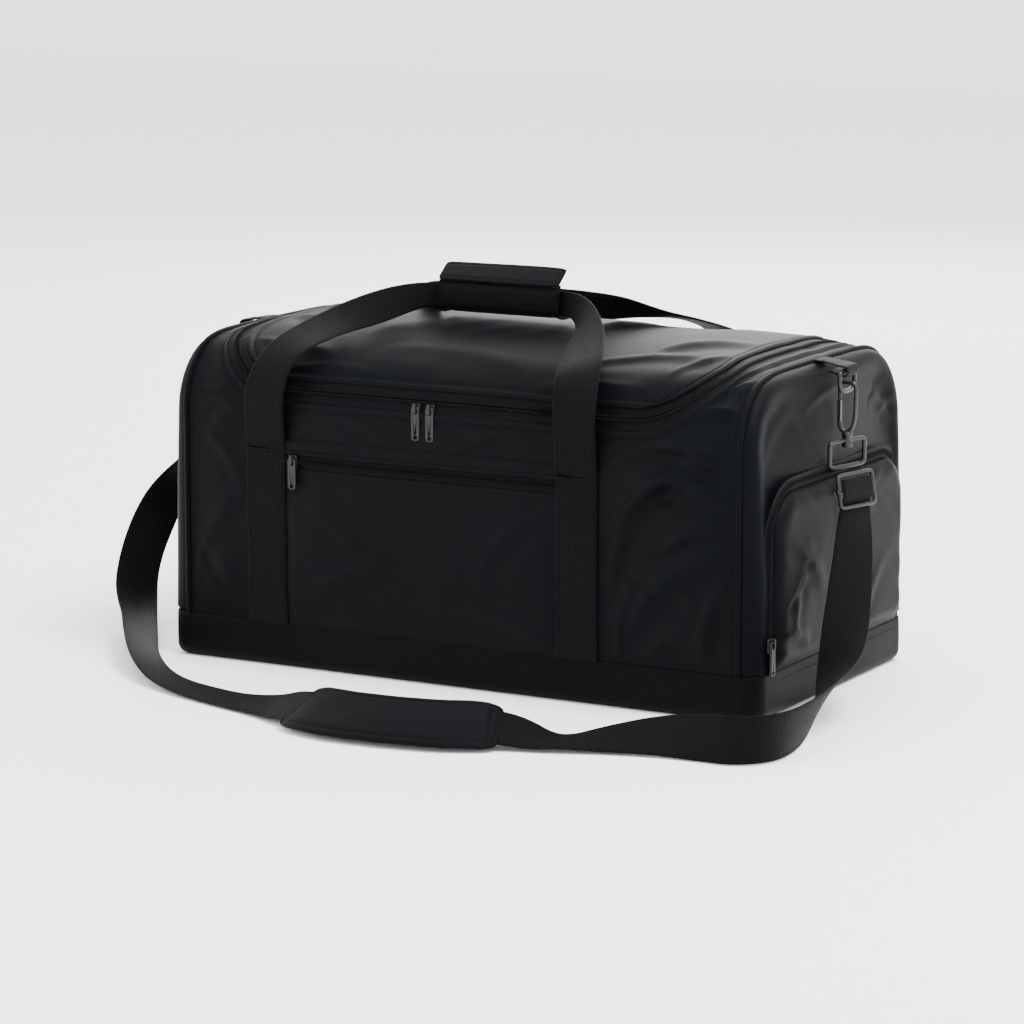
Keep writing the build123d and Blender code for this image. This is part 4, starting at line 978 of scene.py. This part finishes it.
class DUFFEL_OT_shoe_pocket(bpy.types.Operator):
    """Sews the bulging shoe pocket on the right end and its curved zip."""
    bl_idname = "duffel.shoe_pocket"
    bl_label = "Shoe pocket"

    def outline(self, grow, count, arch=False):
        """Pocket outline moved out by grow: up the front, round, along the top, and down the rear unless arch."""
        half, top, r = SHOE_Y + grow, SHOE_TOP + grow, SHOE_CORNER + grow
        up, quarter, level = top - r - BASE_Z, r * pi / 2, 2 * (half - r)
        length = 2 * up + 2 * quarter + level
        d = np.linspace(0, up + level + quarter * 1.35 if arch else length, count)
        a = np.clip((d - up) / quarter, 0, 1) * pi / 2
        b = np.clip((d - up - quarter - level) / quarter, 0, 1) * pi / 2
        y = -half + r * (1 - np.cos(a)) + np.clip(d - up - quarter, 0, level) + r * np.sin(b)
        z = BASE_Z + np.clip(d, 0, up) + r * np.sin(a) - r * (1 - np.cos(b)) - np.clip(d - length + up, 0, up)
        return np.stack([y, z], -1)

    def execute(self, context):
        """The shell is rings from outline to middle that rise as a quarter ellipse, with puckers and creases."""
        rim = self.outline(0.5, 420)
        rim = np.concatenate([rim, straight(rim[-1], rim[0], 140)[1:-1]])
        mid = np.array([0.0, 112.0])
        rho = 1 - np.linspace(0, 1, 80) ** 1.5
        spot = mid + (rim - mid)[:, None] * rho[None, :, None]
        y, z = spot[..., 0], spot[..., 1]
        inward = np.linalg.norm(rim - mid, axis=1)[:, None] * (1 - rho[None])
        depth = np.maximum(np.minimum(np.minimum(SHOE_Y - np.abs(y), SHOE_TOP - z), inward), 0)
        swell = np.sqrt(1 - (1 - np.clip(depth / 15, 0, 1)) ** 2)
        seam_len = np.arange(len(rim))[:, None]
        pucker = 0.4 * np.sin(seam_len * 0.19 + 1.5 * np.sin(seam_len * 0.047)) * np.exp(-((depth - 8) / 7) ** 2)
        folds = sum(ridge(y, z, *f) for f in (
            (-118, 95, -60, 120, 7, 2.4), (-120, 70, -70, 60, 7, 2.2), (-112, 150, -40, 100, 9, 2.2),
            (-100, 60, -70, 150, 9, 1.8), (-30, 180, 60, 150, 8, 1.8), (40, 60, 110, 120, 10, 2.0),
            (70, 165, 118, 130, 7, -1.6)))
        low = rise(z, BASE_Z - 1, BASE_Z + 16)
        folds = folds * (1 - 0.75 * rise(y, 40, 90))
        x = HALF_X + 0.8 + (SHOE_OUT - 1.2) * swell * (0.35 + 0.65 * low) + (pucker + folds) * swell * low
        x = np.minimum(x, 302.6 - 1.2 * np.exp(-((y + 8) / 30) ** 2))
        pts = np.stack([x, y, z], -1)
        uv = np.stack([y, z], -1) * MM
        obj = lay_surface("shoe_pocket_cloth", closed_ring(pts), closed_ring(uv), flip=True)
        join_points(obj)
        thicken(obj, 1.6)
        finish_piece(obj, "bag_body", "body_fabric", MAT["body_fabric"], "shoe_pocket")
        line = self.outline(ZIP_W / 2, 700, arch=True)
        path = np.concatenate([HALF_X + 1.4 - 1.5 * rise(-line[:, :1], 126, 134), line], 1)
        for sign, name in ((-1, "inner"), (1, "outer")):
            away = unit(self.outline(ZIP_W / 2 + 2.0 * sign, 700, arch=True) - line)
            across = np.concatenate([-0.25 * sign * rise(-line[:, :1], 120, 134), away], 1)
            half = zip_half(f"shoe_zip_{name}", path, np.tile([1.0, 0, 0], (700, 1)), across, 6.0, inner=0.12)
            thicken(half, TAPE)
            finish_piece(half, "bag_body", "zip_tape", MAT["zip_tape"], *(["shoe_pocket_zip"] if sign > 0 else []))
        line = self.outline(ZIP_W + 3.0, 600, arch=True)
        row = np.concatenate([HALF_X + 1.6 - 4.0 * rise(-line[:, :1], 130, 142), line], 1)
        sew("bag_body", "body_fabric", "shoe_pocket_stitches", [(row, np.tile([1.0, 0, 0], (600, 1)))])
        return {"FINISHED"}


class DUFFEL_OT_end_rings(bpy.types.Operator):
    """Makes the round-wire D-rings, strap loops and the folded tabs that hold them."""
    bl_idname = "duffel.end_rings"
    bl_label = "Rings and tabs"

    def execute(self, context):
        """The same set of pieces on both ends, and the triglide on the right."""
        for side, name in ((-1, "left"), (1, "right")):
            self.ring(side, name)
            self.loop(side, name)
            self.hook(side, name)
            self.tab(side, name)
        self.triglide()
        return {"FINISHED"}

    def ring(self, side, name):
        """D-ring of round wire: a superellipse, squarer above for the bar and rounder below for the bow."""
        a = full_turn(96)
        y, bar = rounded(a, 0.7, 0.25)
        up = np.where(bar > 0, bar, rounded(a, 0.8)[1])
        path = np.stack([np.full(96, side * 299.5), 15.0 * y, 271.0 + 9.0 * up], -1)
        obj = tube(f"{name}_round_d_ring", path, WIRE_R, closed=True, sides=14)
        finish_piece(obj, f"{name}_d_ring", "hardware", MAT["hardware"], f"{name}_d_ring")

    def loop(self, side, name):
        """Rectangular loop of round wire below the swivel: a nearly square superellipse, turned with the swivel."""
        c, s = rounded(full_turn(120), 0.22)
        path = np.stack([side * (HOOK_X + 23.0 * c * sin(SWIVEL)), 23.0 * c * cos(SWIVEL), 208.5 + 11.0 * s], -1)
        obj = tube(f"{name}_wire_loop", path, WIRE_R, closed=True, sides=14)
        finish_piece(obj, "bag_body", "hardware", MAT["hardware"], f"{name}_strap_loop")

    def hook(self, side, name):
        """Snap hook: a bent wire crook that narrows to a turned swivel barrel with two collars."""
        crook = np.array([(-7.6, 235.5), (-7.0, 230.5), (-3.6, 226.6), (0.6, 226.2), (4.0, 229), (7.0, 238),
                          (7.4, 254), (7.6, 268.5), (-1, 269.2), (-7.8, 268.5), (-7.4, 259), (-7.3, 254.6)], float)
        line = even(spline(crook, 14), 0.8)
        path = np.stack([side * (HOOK_X + line[:, 0]), np.zeros(len(line)), line[:, 1]], -1)
        run = np.linspace(0, 1, len(line))
        wire = tube(f"{name}_hook_crook", path, 1.75 + 0.35 * rise(0.35 - run, 0, 0.3), sides=16)
        finish_piece(wire, "bag_body", "hardware", MAT["hardware"], f"{name}_snap_hook")
        z = np.array([213.4, 213.5, 214.2, 216.2, 216.8, 222.6, 223.2, 225.8, 226.5, 227.2, 227.3])
        r = np.array([0.01, 3.9, 4.6, 4.6, 4.0, 3.9, 4.5, 4.5, 3.8, 2.6, 0.01])
        a = full_turn(28)[None]
        pts = np.stack([side * HOOK_X + r[:, None] * np.cos(a), r[:, None] * np.sin(a), z[:, None] + 0 * a], -1)
        barrel = lay_surface(f"{name}_hook_barrel", pts, wrap=True, caps=True)
        finish_piece(barrel, "bag_body", "hardware", MAT["hardware"])

    def triglide(self):
        """Strap adjuster: a wire superellipse leaning with the strap, crossed by a bar with a knob at each end."""
        lean = radians(10.0)
        wide = np.array([sin(SWIVEL), cos(SWIVEL), 0.0])
        out = np.array([cos(lean) * cos(SWIVEL), -cos(lean) * sin(SWIVEL), sin(lean)])
        high = np.cross(out, wide)
        mid = np.array([311.0, -3.0, 178.5])
        u, v = rounded(full_turn(160), 0.16)
        rim = mid + 22.8 * u[:, None] * wide + 14.0 * v[:, None] * high
        frame_wire = tube("triglide_frame", rim, 1.75, closed=True, sides=14)
        finish_piece(frame_wire, "bag_body", "hardware", MAT["hardware"], "triglide")
        t = np.linspace(-1, 1, 60)
        bar = mid - 1.2 * out + (t * 25.4)[:, None] * wide
        ball = np.sqrt(np.clip(1 - ((np.abs(t) - 0.95) / 0.052) ** 2, 0, 1))
        knob = 1.45 + 0.9 * rise(np.abs(t), 0.9, 0.93) * ball
        cross = tube("triglide_bar", bar, knob, sides=12)
        finish_piece(cross, "bag_body", "hardware", MAT["hardware"])

    def tab(self, side, name):
        """Webbing tab: out of the end seam, round the ring's bar and back under itself."""
        rows = np.array([(268, 286.8), (274, 287.6), (280, 287.2), (287, 286.2), (293, 285.2), (298, 284.4),
                         (304.4, 283.8), (304.8, 275.9), (299.0, 275.6), (293, 277.5), (287, 279.5)], float)
        line = even(spline(rows, 12), 1.2)
        path = np.stack([side * line[:, 0], np.zeros(len(line)), line[:, 1]], -1)
        obj = band(f"{name}_ring_tab", path, np.tile([0, side * 1.0, 0], (len(line), 1)), 11.5, 1.8)
        finish_piece(obj, "bag_body", "webbing", MAT["webbing"], f"{name}_d_ring_tab")
        top = np.array([0, 0, 1.0])
        runs = []
        top_side = line[:int(np.argmax(line[:, 0]))]
        for a, b in (((280, -9), (280, 9)), ((292, -9), (292, 9)), ((280, -9), (292, -9)), ((280, 9), (292, 9))):
            uv = straight(a, b, 20)
            z = np.interp(uv[:, 0], top_side[:, 0], top_side[:, 1]) + 1.0
            runs.append((np.stack([side * uv[:, 0], uv[:, 1], z], -1), np.tile(top, (20, 1))))
        sew("bag_body", "webbing", f"{name}_tab_stitches", runs, 0.7)


class DUFFEL_OT_metalwork(bpy.types.Operator):
    """Finishes the cast metal pieces: rounds their edges and paints them."""
    bl_idname = "duffel.metalwork"
    bl_label = "Hooks, sliders and pulls"

    CAST = ("main_zip_left_slider", "main_zip_left_pull", "main_zip_right_slider", "main_zip_right_pull",
            "front_pocket_slider", "front_pocket_pull", "shoe_pocket_slider", "shoe_pocket_pull",
            "left_snap_hook_gate", "right_snap_hook_gate")
    PLAIN = {"base_board": "board", "inner_slip_pocket": "lining"}

    def execute(self, context):
        """The frame's own pieces keep their shape and get a small bevel and their finish."""
        for name in self.CAST:
            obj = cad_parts[name]
            join_points(obj, 1e-5)
            bevel = obj.modifiers.new("Soft edges", "BEVEL")
            bevel.width = 0.0005
            bevel.segments, bevel.limit_method, bevel.angle_limit = 3, "ANGLE", radians(35)
            obj.data.materials.clear()
            obj.data.materials.append(MAT["hardware" if "hook" in name else "zip_metal"])
        for name, slot in self.PLAIN.items():
            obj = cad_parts[name]
            obj.data.materials.clear()
            obj.data.materials.append(MAT[slot])
        return {"FINISHED"}


class DUFFEL_OT_stage(bpy.types.Operator):
    """Sets the camera, a plain pale floor and soft studio light."""
    bl_idname = "duffel.stage"
    bl_label = "Camera, floor and light"

    def execute(self, context):
        """The camera looks at aim from an angle round and an angle up; the floor is one flat grid."""
        az, el, away = radians(29.0), radians(10.5), 3.6
        aim = Vector((-0.0195, -0.0108, 0.1303))
        back = Vector((sin(az) * cos(el), -cos(az) * cos(el), sin(el)))
        cam = bpy.data.cameras.new("camera")
        cam.lens, cam.sensor_width, cam.clip_end = 142.2, 36.0, 60.0
        eye = bpy.data.objects.new("camera", cam)
        eye.location = aim + back * away
        eye.rotation_euler = (-back).to_track_quat("-Z", "Y").to_euler()
        context.scene.collection.objects.link(eye)
        context.scene.camera = eye
        u, v = grid(-6000, 6000, 5, -6000, 6000, 5)
        floor = lay_surface("studio_floor", np.stack([u, v, np.full_like(u, -0.4)], -1))
        mat, tree, shader = new_material("Pale floor")
        coord = node(tree, "ShaderNodeTexCoord", (-900, 0))
        grain = node(tree, "ShaderNodeTexNoise", (-600, 0), link_Vector=coord.outputs["Object"], set_Scale=30.0)
        tint = tuple(context.scene.duffel_colours.floor)
        shades = ([c * 0.985 for c in tint], tint)
        tree.links.new(two_tone(tree, (-300, 0), grain.outputs["Fac"], (0, 1), shades), shader.inputs["Base Color"])
        shader.inputs["Roughness"].default_value = 0.9
        floor.data.materials.append(mat)
        world = bpy.data.worlds.new("studio")
        world.use_nodes = True
        sky = world.node_tree.nodes["Background"]
        sky.inputs["Color"].default_value = (1, 1, 1, 1)
        sky.inputs["Strength"].default_value = 2.4
        context.scene.world = world
        lamps = (("key", (1.5, -0.3, 2.6), 1.1, 150.0), ("fill", (-2.4, -2.4, 1.5), 2.0, 45.0),
                 ("rim", (-0.8, 2.6, 1.7), 1.6, 70.0))
        for name, spot, size, power in lamps:
            lamp = bpy.data.lights.new(name, "AREA")
            lamp.energy, lamp.size = power, size
            obj = bpy.data.objects.new(name, lamp)
            obj.location = spot
            obj.rotation_euler = (Vector((0, 0, 0.15)) - Vector(spot)).to_track_quat("-Z", "Y").to_euler()
            context.scene.collection.objects.link(obj)
        return {"FINISHED"}


class DUFFEL_PT_panel(bpy.types.Panel):
    """Sidebar panel with the sizes, colours and pieces of the duffel bag."""
    bl_idname = "DUFFEL_PT_panel"
    bl_label = "Duffel bag"
    bl_space_type = "VIEW_3D"
    bl_region_type = "UI"
    bl_category = "Duffel"

    def draw(self, context):
        """Settings first, then one button for each operator."""
        layout = self.layout
        for group in (context.scene.duffel_sizes, context.scene.duffel_colours):
            box = layout.box()
            for key in group.__annotations__:
                box.prop(group, key)
        for piece in PIECES:
            layout.operator(piece.bl_idname)


PIECES = (DUFFEL_OT_stage, DUFFEL_OT_end_rings, DUFFEL_OT_shoulder_strap, DUFFEL_OT_body, DUFFEL_OT_lid,
          DUFFEL_OT_handles, DUFFEL_OT_front_pocket, DUFFEL_OT_shoe_pocket, DUFFEL_OT_metalwork)
CLASSES = (DuffelSizes, DuffelColours) + PIECES + (DUFFEL_PT_panel,)


def register():
    """Adds the classes and the two groups of settings."""
    for item in CLASSES:
        bpy.utils.register_class(item)
    bpy.types.Scene.duffel_sizes = bpy.props.PointerProperty(type=DuffelSizes)
    bpy.types.Scene.duffel_colours = bpy.props.PointerProperty(type=DuffelColours)


def unregister():
    """Takes them away again."""
    del bpy.types.Scene.duffel_colours
    del bpy.types.Scene.duffel_sizes
    for item in reversed(CLASSES):
        bpy.utils.unregister_class(item)


def main():
    """Makes every piece in order."""
    register()
    MAT.update(make_materials())
    for piece in PIECES:
        group, name = piece.bl_idname.split(".")
        getattr(getattr(bpy.ops, group), name)()


if __name__ == "__main__":
    main()
